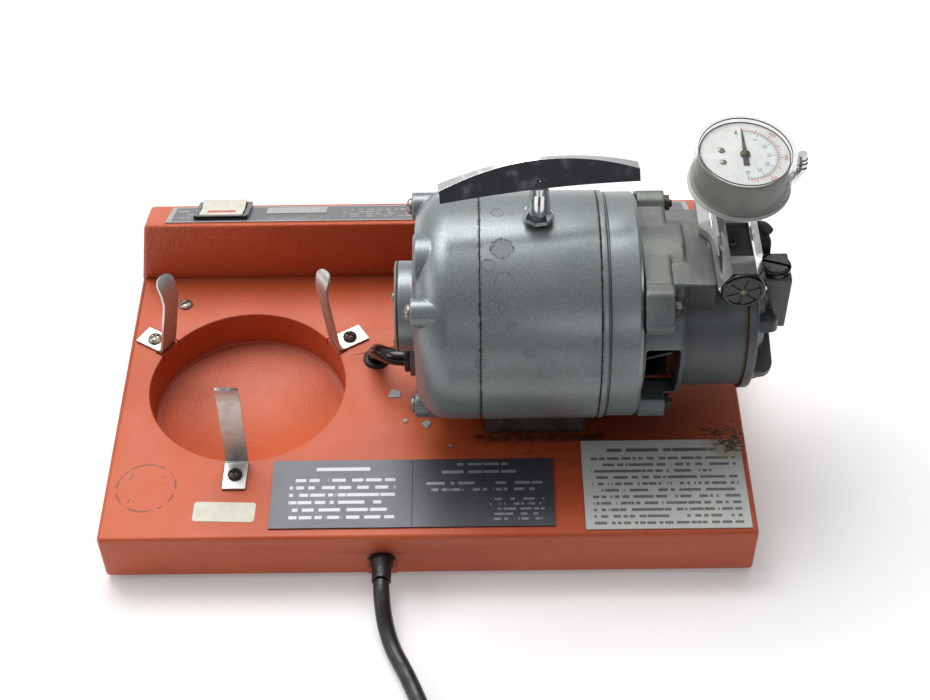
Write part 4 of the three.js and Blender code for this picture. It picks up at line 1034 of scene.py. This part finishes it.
def motor():
    radius, left, seam, far, right = (
        MOTOR[k] for k in ("radius", "left", "seam_left", "seam_right", "right")
    )
    bell = raw("bell_casting", lathe(bell_profile(left - 10), 160), MOTOR_FRAME)
    boss = [(0, left - 1.5), (7.5, left - 1.5), (8.1, left - 0.9), (8.1, seam - 6), (0, seam - 6)]
    bosses = [moved(lathe(boss, 64), at(x, y)) for x, y, _ in BOLTS]
    lobe = lathe([(0, left), (15.5, left), (17, left + 1.5), (17, left + 20), (0, left + 20)], 72)
    lobe = moved(lobe, at(*polar(47, 104)))
    gland = moved(rod(10.5, left - 0.3, left + 8), at(*GLAND_SPOT))
    boolean(bell, "UNION", [*bosses, lobe, gland], MOTOR_FRAME)
    boolean(bell, "DIFFERENCE", [moved(rod(5.6, left - 5, left + 10), at(*GLAND_SPOT))], MOTOR_FRAME)
    cast(bell, 0.5, 2)
    trim(bell, 0, seam - 0.25)
    finish_piece(bell, "silver", nodes=["end_bell"], sharp=50)
    cap = rounded(
        [
            (0, left - 12), (25.7, left - 12, 0.9), (26.5, left - 11.2, 0.5),
            (26.5, left - 10.9, 0.2), (0, left - 10.9)
        ],
        closed=False
    )
    piece("bearing_cap", lathe(cap, 96), "silver", MOTOR_FRAME, nodes=["bearing_cover"])
    piece("cap_gasket", pipe(26.3, 20, left - 10.95, left - 10.0), "gasket", MOTOR_FRAME)
    for i, angle in enumerate((30, 120, 210, 300)):
        frame = MOTOR_FRAME @ at(*polar(21.5, angle), left - 11.9) @ at(turn=180, axis="X")
        screw(f"cap_screw_{i + 1}", frame, 2.6, 1.5, drive="slot", turn=angle + 35)
    shell = rounded(
        [
            (radius - 3.5, seam + 0.3), (radius, seam + 0.3, 0.5), (radius, far - 0.3, 0.5),
            (radius - 3.5, far - 0.3)
        ]
    )
    piece("stator_jacket", lathe(shell, 192, closed=True), "silver", MOTOR_FRAME, nodes=["stator_shell"])
    piece(
        "seam_packing", pipe(radius - 0.9, radius - 3, seam - 0.25, seam + 0.3, 128), "gasket",
        MOTOR_FRAME
    )
    piece("drive_packing", pipe(radius - 0.9, radius - 3, far - 0.3, far + 0.3, 128), "gasket", MOTOR_FRAME)
    drive = [
        (16, 107), (20, 107), (20, 111), (61.5, 111), (61.5, far + 0.3), (radius, far + 0.3, 0.4),
        (radius, far + 3.5, 0.5), (radius - 2, far + 3.9, 0.3),
        (radius - 2, far + 4.8, 0.3), (radius - 1.1, far + 5.2, 0.4), (radius - 1.1, right - 2, 1.4),
        (radius - 3, right, 1), (57, right), (57, 116.5), (16, 116.5),
    ]
    bell = raw("drive_casting", lathe(rounded(drive, steps=4), 160, closed=True), MOTOR_FRAME)
    boolean(bell, "DIFFERENCE", [moved(rod(2.7, 90, 130, 24), at(x, y)) for x, y, _ in BOLTS], MOTOR_FRAME)
    finish_piece(bell, "silver", nodes=["drive_bell"])
    for i, (x, y, angle) in enumerate(BOLTS):
        frame = MOTOR_FRAME @ at(x, y, left - 1.7) @ at(turn=180, axis="X")
        screw(
            f"tie_bolt_head_{i + 1}", frame, 4.8, 3, "dark_bolt" if i == 3 else "screw", "slot",
            angle, [f"tie_bolt_{i + 1}"]
        )
        piece(
            f"tie_rod_{i + 1}", rod(2.2, left - 1, 144, 24), "dark_bolt", MOTOR_FRAME @ at(x, y),
            edge=0.3
        )
        nut = [polar(5.2, 60 * k + 12 * i) for k in range(6)]
        piece(f"tie_nut_{i + 1}", prism(nut, 138.8, 142.3), "dark_bolt", MOTOR_FRAME @ at(x, y), edge=0.45)
        piece(
            f"tie_washer_{i + 1}", pipe(6.2, 2.4, 138.35, 138.75, 48), "dark_bolt",
            MOTOR_FRAME @ at(x, y)
        )
    motor_cradle()
    gland_and_cable()
    for node, look in dict(
        stator="copper", bearing_left="bright", bearing_right="bright", rotor_shaft="bright",
        rotor_core="bright"
    ).items():
        keep(node, look)
    # The fan is black moulding, dark enough to stand for the shade seen through the lantern's windows: partly
    # painted shade.
    keep("cooling_fan", "black", 0.3)


def polar(radius, angle):
    return radius * math.cos(math.radians(angle)), radius * math.sin(math.radians(angle))


def motor_cradle():
    floor = BASE["deck"] + 0.3 - MOTOR["z"]
    cradle = raw("cradle_casting", block((-38, 38), (floor, floor + 18), (34, 94)), MOTOR_FRAME)
    boolean(cradle, "DIFFERENCE", [rod(MOTOR["radius"] + 0.25, 0, 120, 160)], MOTOR_FRAME)
    cast(cradle, 0.9, 4)
    trim(cradle, 2, BASE["deck"] + 0.4, keep_low=False)
    finish_piece(cradle, "grimy", nodes=["motor_foot"], sharp=50)


def gland_and_cable():
    left = MOTOR["left"]
    frame = MOTOR_FRAME @ at(*GLAND_SPOT)
    collar = rounded([(5.3, left - 8.5), (8.6, left - 8.5, 0.8), (8.6, left - 5.2, 0.3), (5.3, left - 5.2)])
    piece("gland_collar", lathe(collar, 64, closed=True), "rubber", frame)
    nut = raw(
        "gland_nut_body",
        prism(
            rounded([(-8.3, -8.3, 1.6), (8.3, -8.3, 1.6), (8.3, 8.3, 1.6), (-8.3, 8.3, 1.6)]),
            left - 5.1, left - 0.5
        ),
        frame
    )
    boolean(nut, "DIFFERENCE", [rod(5.4, left - 20, left + 5)], frame)
    bevel(nut, 0.5)
    finish_piece(nut, "silver")
    route = [
        (-5, -13.2, 67), (-10, -13.2, 67), (-15, -13.2, 67), (-22, -11, 66), (-28.5, -3.5, 61),
        (-32, 5, 53), (-33, 11, 43), (-33, 12.5, 32)
    ]
    piece("motor_lead", sweep(smooth_line(route, 10), 5, 36), "black", nodes=["motor_cable"])
    ring = rounded([(5.3, 0), (8.6, 0, 0.5), (8.2, 2.2, 1), (5.3, 2.2, 0.4)])
    piece("deck_grommet", lathe(ring, 64, closed=True), "bushing", at(-33, 11.2, BASE["deck"] + 0.05))


# ---- pump ----
def pump_casting():
    left, body, right, radius, pad = (PUMP[k] for k in ("left", "body", "right", "radius", "pad"))
    whole = raw("pump_casting", pipe(52, 44, left + 0.2, body + 2, 120), MOTOR_FRAME)
    cylinder = rod(radius, body - 1, right + 3, 120)
    top = prism(rounded([(-34.3, 10), (27.7, 10), (27.7, pad, 1.2), (-34.3, pad, 1.2)]), 138.6, 162)
    boolean(whole, "UNION", [cylinder, top], MOTOR_FRAME)
    ears = []
    for x, y, angle in BOLTS:
        ear = prism(
            rounded([(40, -13.5), (60, -13.5, 4), (65.6, -9, 5), (65.6, 9, 5), (60, 13.5, 4), (40, 13.5)]),
            left + 0.2, 138.3
        )
        ears.append(moved(ear, at(turn=angle)))
    boolean(whole, "UNION", ears, MOTOR_FRAME)
    web = prism(rounded([(-41, 36), (41, 36), (36, 50.8, 4), (-36, 50.8, 4)]), left + 0.2, 137.5)
    boolean(whole, "UNION", [web], MOTOR_FRAME)
    windows = [block(across, (-32, 13), (left + 2.5, body - 0.5)) for across in ((30, 70), (-70, -30))]
    outlet = block((-16, 16), (-70, -30), (left + 2.5, body - 0.5))
    hollow = [rod(44, left - 5, body, 120), *windows, outlet, rod(7.2, body - 5, right + 9, 32)]
    hollow += [moved(rod(2.7, 110, 150, 24), at(x, y)) for x, y, _ in BOLTS]
    boolean(whole, "DIFFERENCE", hollow, MOTOR_FRAME)
    cast(whole, 0.7, 3)
    trim(whole, 0, right + 0.8)
    finish_piece(whole, "casting", nodes=["pump_housing"], sharp=50)
    ring = [
        (42.8, right + 0.7), (radius + 0.2, right + 0.7), (radius + 0.2, COVER["left"] + 0.1),
        (42.8, COVER["left"] + 0.1)
    ]
    piece("gasket_ring", lathe(ring, 128, closed=True), "gasket", MOTOR_FRAME, nodes=["pump_gasket"])


def end_cover():
    radius, left, flange, top = COVER["radius"], COVER["left"], COVER["flange"], COVER["top"]
    dome = rounded(
        [
            (0, left - 3), (radius, left - 3), (radius, flange - 0.2, 1.6), (37, flange + 1, 3),
            (31, top - 5, 3), (0, top - 4)
        ],
        closed=False
    )
    cover = raw("cover_casting", lathe(dome, 128), MOTOR_FRAME)
    fin = rounded([(12, flange - 3), (47.2, flange - 3), (47.2, top, 9), (12, top, 2)], steps=10)
    fins = []
    for angle in RIB_ANGLES:
        blade = moved(prism(fin, -3.4, 3.4), at(turn=90, axis="X"))
        fins.append(moved(blade, at(turn=angle)))
    boolean(cover, "UNION", fins, MOTOR_FRAME)
    port = prism(
        rounded([(-19.3, -1), (3.2, -1), (3.2, PORT["top"], 1.5), (-19.3, PORT["top"], 1.5)]),
        flange - 3, 207.2
    )
    bent = sweep(
        smooth_line([(15, 44, 188), (13.5, 48.2, 190), (11.5, 49.3, 193.5), (10, 46, 197)], 6), 3.0,
        20
    )
    boolean(cover, "UNION", [port, bent], MOTOR_FRAME)
    cast(cover, 0.7, 5)
    trim(cover, 0, left, keep_low=False)
    finish_piece(cover, "casting", nodes=["pump_end_cover"], sharp=50)


def port_plug():
    frame = MOTOR_FRAME @ at(PORT["y"], PORT["top"] + 0.3, PORT["x"]) @ at(turn=-90, axis="X")
    rim = rounded([(0, 0), (9, 0), (9, 2.3, 0.6), (8.3, 3.0, 0.5), (7.2, 3.2), (0, 3.2)], closed=False)
    head = rounded([(0, 2.8), (7.2, 2.8), (7.2, 3.8, 0.5), (0, 3.9)], closed=False)
    slot = moved(block((-20, 20), (-0.95, 0.95), (1.9, 6)), at(turn=71))
    collar = raw("plug_rim", lathe(rim, 96), frame)
    boolean(collar, "DIFFERENCE", [slot], frame)
    bevel(collar, 0.2, 2)
    finish_piece(collar, "black", nodes=["port_plug"])
    face = raw("plug_face", lathe(head, 96), frame)
    boolean(face, "DIFFERENCE", [slot], frame)
    bevel(face, 0.2, 2)
    finish_piece(face, "plug")


def pump():
    pump_casting()
    end_cover()
    port_plug()
    keep("vane_rotor", "bright")
    for i in range(4):
        keep(f"pump_vane_{i + 1}", "carbon")


# ---- vacuum regulator ----
def regulator():
    frame = at(ARM["x"], 0, ARM["z"])
    front, rear, reach = ARM["front"], 23.5, 23.2 / math.sqrt(3)
    hexagon = [polar(reach, 60 * k) for k in range(6)]
    bar = raw("regulator_bar", moved(prism(hexagon, -rear, -front), at(turn=90, axis="X")), frame)
    cone = lathe(
        [
            (0, -rear - 1), (reach - 1.2, -rear - 1), (reach + 2.8, -rear + 3),
            (reach + 2.8, -front - 2.2), (reach - 1.2, -front + 0.1), (0, -front + 0.1)
        ],
        96
    )
    boolean(bar, "INTERSECT", [moved(cone, at(turn=90, axis="X"))], frame)
    wing = [
        (-11, -36), (-11.6, -28), (-12.6, -20), (-14.2, -13), (-19.5, -7), (-19.5, rear - 4),
        (0, rear - 4), (0, -36)
    ]
    wing = [*[(p.x, p.y) for p in smooth_line([(x, y, 0) for x, y in wing[:5]], 6)], *wing[5:]]
    boolean(
        bar, "UNION", [prism(wing, -1.9, 3.4), block((-12.4, 13.4), (-30, rear - 4), (-11.6, 4))],
        frame
    )
    panel = block((-6.3, 6.3), (-39.5, -13), (8.4, 20))
    hollows = [
        panel, moved(rod(8.1, 47, 60), at(turn=90, axis="X")),
        moved(rod(5.7, 4, 20), at(GAUGE["x"] - ARM["x"], GAUGE["y"], 0))
    ]
    grooves = [moved(pipe(30, reach - 0.35, h, h + 0.5), at(turn=90, axis="X")) for h in (42.2, 44.6)]
    boolean(bar, "DIFFERENCE", hollows + grooves, frame)
    rounds = [rod(48.5, 150, 180.4, 128), rod(50.2, 180.2, 250, 128)]
    boolean(bar, "DIFFERENCE", rounds, MOTOR_FRAME)
    bevel(bar, 0.35, 3, 25)
    finish_piece(bar, "chrome", nodes=["regulator_body"])
    floor = rounded([(-6.2, -39.4, 0.5), (6.2, -39.4, 0.5), (6.2, -13.1, 0.5), (-6.2, -13.1, 0.5)])
    piece("arm_panel", prism(floor, 8.4, 8.9), "panel", frame)
    screw("arm_screw", frame @ at(-3.2, -27, 8.85), 2.9, 1.5, "dark_bolt", "slot", 30)
    stem = [(0, 2.4), (2.6, 2.4), (2.6, 28), (0.6, 32.5), (0, 32.5)]
    valve = moved(lathe([(r, 56.2 - h) for r, h in stem], 48), at(turn=90, axis="X"))
    piece("valve_stem", valve, "brass", frame, "regulator_stem", ["regulator_needle"])
    regulator_knob(frame)


def regulator_knob(frame):
    turned = at(turn=90, axis="X")
    profile = [
        (0, 55.6), (9.2, 55.6, 0.4), (9.7, 56.2, 0.5), (11.2, 56.2, 0.9), (12.2, 55.2, 0.8),
        (12.2, 53.9, 0.3), (7.6, 53.8, 0.4), (7.6, 48), (0, 48)
    ]
    knob = raw("knob_disc", moved(lathe(rounded(profile, closed=False), 120), turned), frame)
    flutes = [
        moved(
            rod(0.6, 2.4, 9.3, 24),
            turned @ at(turn=60 * k + 20) @ at(0, 0, 55.7) @ at(turn=90, axis="Y")
        )
        for k in range(6)
    ]
    socket = moved(rod(3, 40, 54.1), turned)
    boolean(knob, "DIFFERENCE", [*flutes, socket], frame)
    finish_piece(knob, "black", "regulator_knob", ["regulator_knob"])
    star = [polar(2.1 if k % 2 else 1.0, 30 * k) for k in range(12)]
    piece("knob_star", moved(prism(star, 55.5, 55.9), turned), "cream", frame, "regulator_knob")


# ---- gauge ----
def lettering(name, text, size, look, frame, body="base"):
    """Plain numerals laid on a face, their middle at the frame's origin."""
    font = bpy.data.curves.new(name, "FONT")
    font.body = text
    font.size = size * MM
    font.align_x = "CENTER"
    font.align_y = "CENTER"
    font.extrude = 0.02 * MM
    writer = bpy.data.objects.new(name, font)
    bpy.context.scene.collection.objects.link(writer)
    graph = bpy.context.evaluated_depsgraph_get()
    mesh = bpy.data.meshes.new_from_object(writer.evaluated_get(graph))
    bpy.data.objects.remove(writer)
    for vertex in mesh.vertices:
        vertex.co = place(*(frame @ (vertex.co / MM)))
    made = bpy.data.objects.new(name, mesh)
    bpy.context.scene.collection.objects.link(made)
    return finish_piece(made, look, body)


def tick(radius, length, width, angle, height):
    return moved(
        block((-width / 2, width / 2), (radius - length, radius), (height - 0.1, height + 0.05)),
        at(turn=-angle)
    )


def gauge():
    case, lens, floor, top, dial = (GAUGE[k] for k in ("case", "lens", "floor", "top", "dial"))
    profile = [
        (0, -3), (5, -3), (5, 1.1), (8.5, 1.1, 0.5), (8.5, 9, 0.6), (6, 9.5, 0.5), (6, floor - 3, 2),
        (27, floor - 2.4, 1.2), (28.8, floor - 1.4, 1),
        (28.8, floor - 0.3, 0.4), (28.2, floor - 0.1, 0.2), (28.2, floor + 0.4, 0.2),
        (28.5, floor + 0.5, 0.3), (28.5, floor + 1.1, 0.3), (case, floor + 1.3, 0.3),
        (case, dial - 0.9, 0.3), (case - 1.3, dial - 0.9), (case - 1.3, floor + 1), (0, floor + 1),
    ]
    piece(
        "case_turning", lathe(rounded(profile, closed=False, steps=4), 144), "turned", GAUGE_FRAME,
        nodes=["gauge_case"]
    )
    cap = [
        (0, top - 1), (case + 0.5, top - 1, 0.8), (case + 0.5, floor + 1.8), (lens, floor + 1.8, 0.5),
        (lens, top - 0.2, 1.4), (lens - 2.2, top, 1), (0, top)
    ]
    piece(
        "lens_cap", lathe(rounded(cap, closed=False, steps=6), 144), "clear", GAUGE_FRAME,
        nodes=["gauge_lens"]
    )
    piece("lens_seal", pipe(case + 0.45, case + 0.1, top - 0.9, top - 0.2, 144), "rubber", GAUGE_FRAME)
    face = rounded([(1.6, dial - 0.6), (case - 0.5, dial - 0.6), (case - 0.5, dial, 0.25), (1.6, dial)])
    piece("dial_disc", lathe(face, 144, closed=True), "dial", GAUGE_FRAME, nodes=["gauge_dial"])
    outer = [
        tick(
            20.4 + (k % 5 == 0) * 0.6, 1.5 + (k % 5 == 0) * 0.6, 0.55 if k % 5 == 0 else 0.26,
            180 * k / 38, dial
        )
        for k in range(39)
    ]
    inner = [
        tick(18.0, 2.6 if k % 5 == 0 else 1.4, 0.42 if k % 5 == 0 else 0.24, 6 * k, dial) for k in range(31)
    ]
    for name, radius, look, ticks in (
        ("outer", 18.8, "ink_red", outer), ("inner", 18.1, "ink_blue", inner)
    ):
        rim = [polar(radius, 90 - a) for a in range(0, 181, 4)] + [
            polar(radius - 0.3, 90 - a) for a in range(180, -1, -4)
        ]
        piece(f"dial_scale_{name}", both(*ticks, prism(rim, dial, dial + 0.05)), look, GAUGE_FRAME)
    for value in (200, 400, 600):
        angle = 180 * value / 760
        spot = GAUGE_FRAME @ at(*polar(22.4, 90 - angle), dial + 0.03) @ at(turn=-angle)
        lettering(f"dial_outer_{value}", str(value), 3.0, "ink_red", spot)
    for value in range(5, 31, 5):
        spot = GAUGE_FRAME @ at(*polar(13.2, 90 - 6 * value), dial + 0.03) @ at(turn=-90)
        lettering(f"dial_inner_{value}", str(value), 3.2, "ink_blue", spot)
    for i, y in enumerate((3.0, -5.8)):
        screw(
            f"dial_screw_{i + 1}", GAUGE_FRAME @ at(-12.6, y, dial), 1.9, 0.9, "screw", "slot",
            40 + 50 * i
        )
    piece("stop_pin", rod(0.55, dial, dial + 1.3, 24), "brass", GAUGE_FRAME @ at(-3.4, 16.5), edge=0.15)
    piece("dial_edge", pipe(case - 0.2, case - 0.75, dial - 0.2, dial + 0.35, 144), "pointer", GAUGE_FRAME)
    pointer = [
        (-0.35, 18.5), (-1.1, 2), (-1.5, -3), (-1.7, -8), (1.7, -8), (1.5, -3), (1.1, 2), (0.35, 18.5)
    ]
    needle = raw("needle_blade", prism(pointer, dial + 0.5, dial + 1.0), GAUGE_FRAME)
    boolean(needle, "UNION", [rod(2.7, dial + 0.4, dial + 1.2, 48)], GAUGE_FRAME)
    bevel(needle, 0.12, 2)
    finish_piece(needle, "pointer", "gauge_pointer", ["gauge_needle"])
    hub = rounded(
        [(0, dial + 1.2), (1.9, dial + 1.2), (1.9, dial + 1.9, 0.4), (0, dial + 2.0)], closed=False
    )
    piece("needle_hub", lathe(hub, 64), "brass", GAUGE_FRAME, "gauge_pointer")
    piece(
        "needle_arbor", rod(0.8, dial - 9, dial + 0.5, 24), "brass", GAUGE_FRAME, "gauge_pointer",
        edge=0.2
    )


# ---- handle ----
def handle():
    width, tip, arch, middle = (HANDLE[k] for k in ("width", "tip", "arch", "middle"))
    half = HANDLE["length"] / 2
    steps, verts = 40, []
    for i in range(steps + 1):
        t = 2 * i / steps - 1
        low, high = arch * (1 - t * t), tip + (middle - tip) * (1 - t * t)
        lean = 0.45 * (high - low) - width / 2
        verts += [
            (half * t, -width / 2, low), (half * t, width / 2, low), (half * t, width / 2, high),
            (half * t, lean, high)
        ]
    faces = [(0, 1, 2, 3), tuple(4 * steps + k for k in range(4))]
    for i in range(0, 4 * steps, 4):
        faces += [(i + k, i + (k + 1) % 4, i + 4 + (k + 1) % 4, i + 4 + k) for k in range(4)]
    frame = HANDLE_FRAME @ at(0, 0, HANDLE["ends"])
    bar = raw("handle_grip", (verts, faces), frame)
    boolean(bar, "DIFFERENCE", [rod(3.1, -5, arch + 5)], frame)
    bevel(bar, 0.7, 4, 35)
    finish_piece(bar, "chrome", nodes=["handle_bar"], sharp=45)
    foot = MOTOR["z"] + MOTOR["radius"] + 0.3
    height = HANDLE["ends"] + arch - foot - 0.3
    neck = [
        (0, 3), (5.6, 3), (7.0, 8), (6.4, 13, 4), (5.4, 22, 4), (5.4, height), (2.6, height),
        (2.6, height + 4.5), (0, height + 4.5)
    ]
    piece(
        "handle_pillar", lathe(rounded(neck, closed=False), 64), "chrome",
        HANDLE_FRAME @ at(0, 0, foot), nodes=["handle_post"]
    )
    facets = [(0, 0), (6.2, 0), (8.9, 2.6), (8.9, 5.4), (6.9, 9.4), (0, 9.4)]
    piece(
        "handle_foot", lathe(facets, 8), "chrome", HANDLE_FRAME @ at(0, 0, foot, 22), edge=0.35,
        segments=2, sharp=15
    )


# ---- hose nipple ----
def nipple():
    line = [
        (189.2, 18, 166), (193, 18.6, 166.5), (201, 21, 169), (209, 23.2, 173), (214.6, 24, 180),
        (215.4, 24, 187), (214.6, 24, 193)
    ]
    points = smooth_line(line, 10)
    radii = [3.0] * len(points)
    for i in range(len(points)):
        left = (points[-1] - points[i]).length
        radii[i] = 3.2 - 0.7 * (left / 3 % 1) * (left < 9) if left > 0.8 else 2.7
    piece("nipple_elbow", sweep(points, radii, 36), "chrome", nodes=["hose_nipple"])


# ---- cord ----
CORD_ROUTE = [
    (-27, -142.6, 17), (-26.9, -146, 16.9), (-26.3, -153, 14.8), (-25, -162, 10.4),
    (-22.7, -171, 6.7), (-19, -181, 4.95), (-13.5, -192.5, 4.85),
    (-7.6, -206, 4.85), (-2, -221, 4.85), (2.2, -238, 4.85), (4, -256, 4.85), (4, -265.2, 4.85),
]
COIL = dict(x=61.25, y=-300.5, turns=7.25, per_turn=32)
# Where each turn lies: its radius and its height, wound outwards and inwards by turns.
NEAR, FAR = 47.75, 57.25
TURNS = [(FAR, 0), (NEAR, 0), (NEAR, 1), (FAR, 1), (FAR, 2), (NEAR, 2), (NEAR, 3), (FAR, 3)]
PLUG = dict(start=153.7, z=19.3, radius=19, relief=28, body=40)


def coil_point(turns):
    """A point on the coil. One turn at a time crosses to its next place, so that none lies in another."""
    lap = min(int(turns), len(TURNS) - 1)
    crossing = 0.75 / 7
    share = min(1, max(0, (turns - lap - 0.25 - crossing * (6 - lap)) / crossing)) if lap < 7 else 0
    share = share * share * (3 - 2 * share)
    (radius, layer), (to_radius, to_layer) = TURNS[lap], TURNS[min(lap + 1, 7)]
    radius += (to_radius - radius) * share
    layer += (to_layer - layer) * share
    x, y = polar(radius, 180 + 360 * turns)
    return COIL["x"] + x, COIL["y"] + y, CORD_RADIUS + 0.1 + 2 * CORD_RADIUS * layer


def cord():
    steps = int(COIL["turns"] * COIL["per_turn"])
    coil = [coil_point(k / COIL["per_turn"]) for k in range(steps + 1)]
    end_x, end_y, end_z = coil[-1]
    run = PLUG["start"] - end_x
    tail = [
        (end_x + run * t, end_y, end_z + (PLUG["z"] - end_z) * (t * t * (3 - 2 * t)))
        for t in (0.15, 0.3, 0.45, 0.6, 0.75, 0.9, 1.0)
    ]
    route = [*CORD_ROUTE, (4, -277, 4.85), (4, -289, 4.85), *coil, *tail]
    points = [place(*p) for p in route]
    curve = bpy.data.curves.new("mains_cord", "CURVE")
    curve.dimensions = "3D"
    curve.bevel_depth = CORD_RADIUS * MM
    curve.bevel_resolution = 6
    curve.use_fill_caps = True
    curve.resolution_u = 4
    spline = curve.splines.new("BEZIER")
    spline.bezier_points.add(len(points) - 1)
    for knot, point in zip(spline.bezier_points, points):
        knot.co = point
        knot.handle_left_type = knot.handle_right_type = "AUTO"
    curve.materials.append(MATERIAL["rubber"])
    lead = bpy.data.objects.new("mains_cord", curve)
    bpy.context.scene.collection.objects.link(lead)
    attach(lead, "base")
    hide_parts("power_cord", "cord_coil", "cord_tail")
    body, prongs = mains_plug(end_y)


def mains_plug(y):
    frame = at(PLUG["start"], y, PLUG["z"]) @ at(turn=90, axis="Y")
    radius, relief, length = PLUG["radius"], PLUG["relief"], PLUG["body"]
    profile = [(0, 0), (5.5, 0, 0.6)]
    for k in range(6):
        profile += [
            (5.7 + 0.3 * k, 2 + 4 * k, 0.4), (5.7 + 0.3 * k, 4 + 4 * k, 0.4),
            (4.9 + 0.3 * k, 4.4 + 4 * k, 0.3), (4.9 + 0.3 * k, 5.6 + 4 * k, 0.3)
        ]
    profile += [
        (7.2, relief, 1), (radius - 5, relief + 4, 3), (radius - 1, relief + 14, 4),
        (radius, relief + length - 12, 3), (radius, relief + length, 1.2), (0, relief + length)
    ]
    body = raw("plug_body", lathe(rounded(profile, closed=False, steps=4), 96), frame)
    grips = [
        moved(rod(1.6, relief + 12, relief + 34, 20), at(turn=20 * k) @ at(radius + 0.7, 0, 0))
        for k in range(18)
    ]
    boolean(body, "DIFFERENCE", grips, frame)
    finish_piece(body, "rubber", nodes=["power_plug"])
    base_end = relief + length - 1
    prongs = []
    for i, across in enumerate((-6.35, 6.35)):
        blade = moved(
            prism(
                rounded(
                    [
                        (-3.2, base_end), (3.2, base_end), (3.2, base_end + 18, 1.4),
                        (-3.2, base_end + 18, 1.4)
                    ]
                ),
                -0.75, 0.75
            ),
            at(0, across, 0) @ at(turn=90, axis="X")
        )
        prongs.append(piece(f"plug_blade_{i + 1}", blade, "brass", frame, edge=0.2))
    pin = rounded(
        [(0, base_end), (2.35, base_end), (2.35, base_end + 21, 1.8), (0, base_end + 21.6)],
        closed=False
    )
    prongs.append(piece("plug_pin", lathe(pin, 40), "brass", frame @ at(-11, 0, 0)))
    return body, prongs


# ---- studio ----
def studio():
    floor = bpy.data.meshes.new("floor")
    floor.from_pydata([(-6, -6, 0), (6, -6, 0), (6, 6, 0), (-6, 6, 0)], [], [(0, 1, 2, 3)])
    pale = bpy.data.materials.new("pale_floor")
    pale.use_nodes = True
    paint = pale.node_tree.nodes["Principled BSDF"].inputs
    paint["Base Color"].default_value = (0.86, 0.86, 0.86, 1)
    paint["Roughness"].default_value = 0.9
    paint["Emission Color"].default_value = (1, 1, 1, 1)
    paint["Emission Strength"].default_value = 0.18
    floor.materials.append(pale)
    ground = bpy.data.objects.new("floor", floor)
    bpy.context.scene.collection.objects.link(ground)
    for name, where, size, power, tint in (
        ("overhead", (-0.30, 0.60, 1.4), 1.2, 21, (1, 0.98, 0.96)),
        ("front_fill", (0.5, -1.8, 1.0), 0.8, 3.5, (0.97, 0.98, 1)),
        ("left_strip", (-1.5, -0.2, 0.9), 0.9, 5, (1, 1, 1)),
    ):
        light = bpy.data.lights.new(name, "AREA")
        light.shape = "RECTANGLE"
        light.size = size
        light.size_y = size * 0.7
        light.energy = power
        light.color = tint
        lamp = bpy.data.objects.new(name, light)
        lamp.location = where
        lamp.rotation_euler = (Vector((0, 0, 0.08)) - Vector(where)).to_track_quat("-Z", "Y").to_euler()
        bpy.context.scene.collection.objects.link(lamp)
    world = bpy.data.worlds.new("studio")
    world.use_nodes = True
    sky = world.node_tree.nodes
    facing = sky.new("ShaderNodeVectorMath")
    facing.operation = "DOT_PRODUCT"
    facing.inputs[1].default_value = Vector((-0.2, 0.6, 0.8)).normalized()
    ramp = sky.new("ShaderNodeValToRGB")
    ramp.color_ramp.elements[0].color = (0.05, 0.053, 0.06, 1)
    ramp.color_ramp.elements[0].position = 0.15
    ramp.color_ramp.elements[1].color = (1, 1, 1, 1)
    ramp.color_ramp.elements[1].position = 0.85
    wire = world.node_tree.links.new
    wire(sky.new("ShaderNodeTexCoord").outputs["Generated"], facing.inputs[0])
    wire(facing.outputs["Value"], ramp.inputs[0])
    wire(ramp.outputs[0], sky["Background"].inputs["Color"])
    sky["Background"].inputs["Strength"].default_value = 0.7
    bpy.context.scene.world = world
    bpy.context.scene.view_settings.view_transform = "Standard"


base()
for clip_name, (clip_angle, clip_lean) in CLIPS.items():
    clip(clip_name, clip_angle, clip_lean)
console()
motor()
pump()
regulator()
gauge()
handle()
nipple()
cord()
studio()
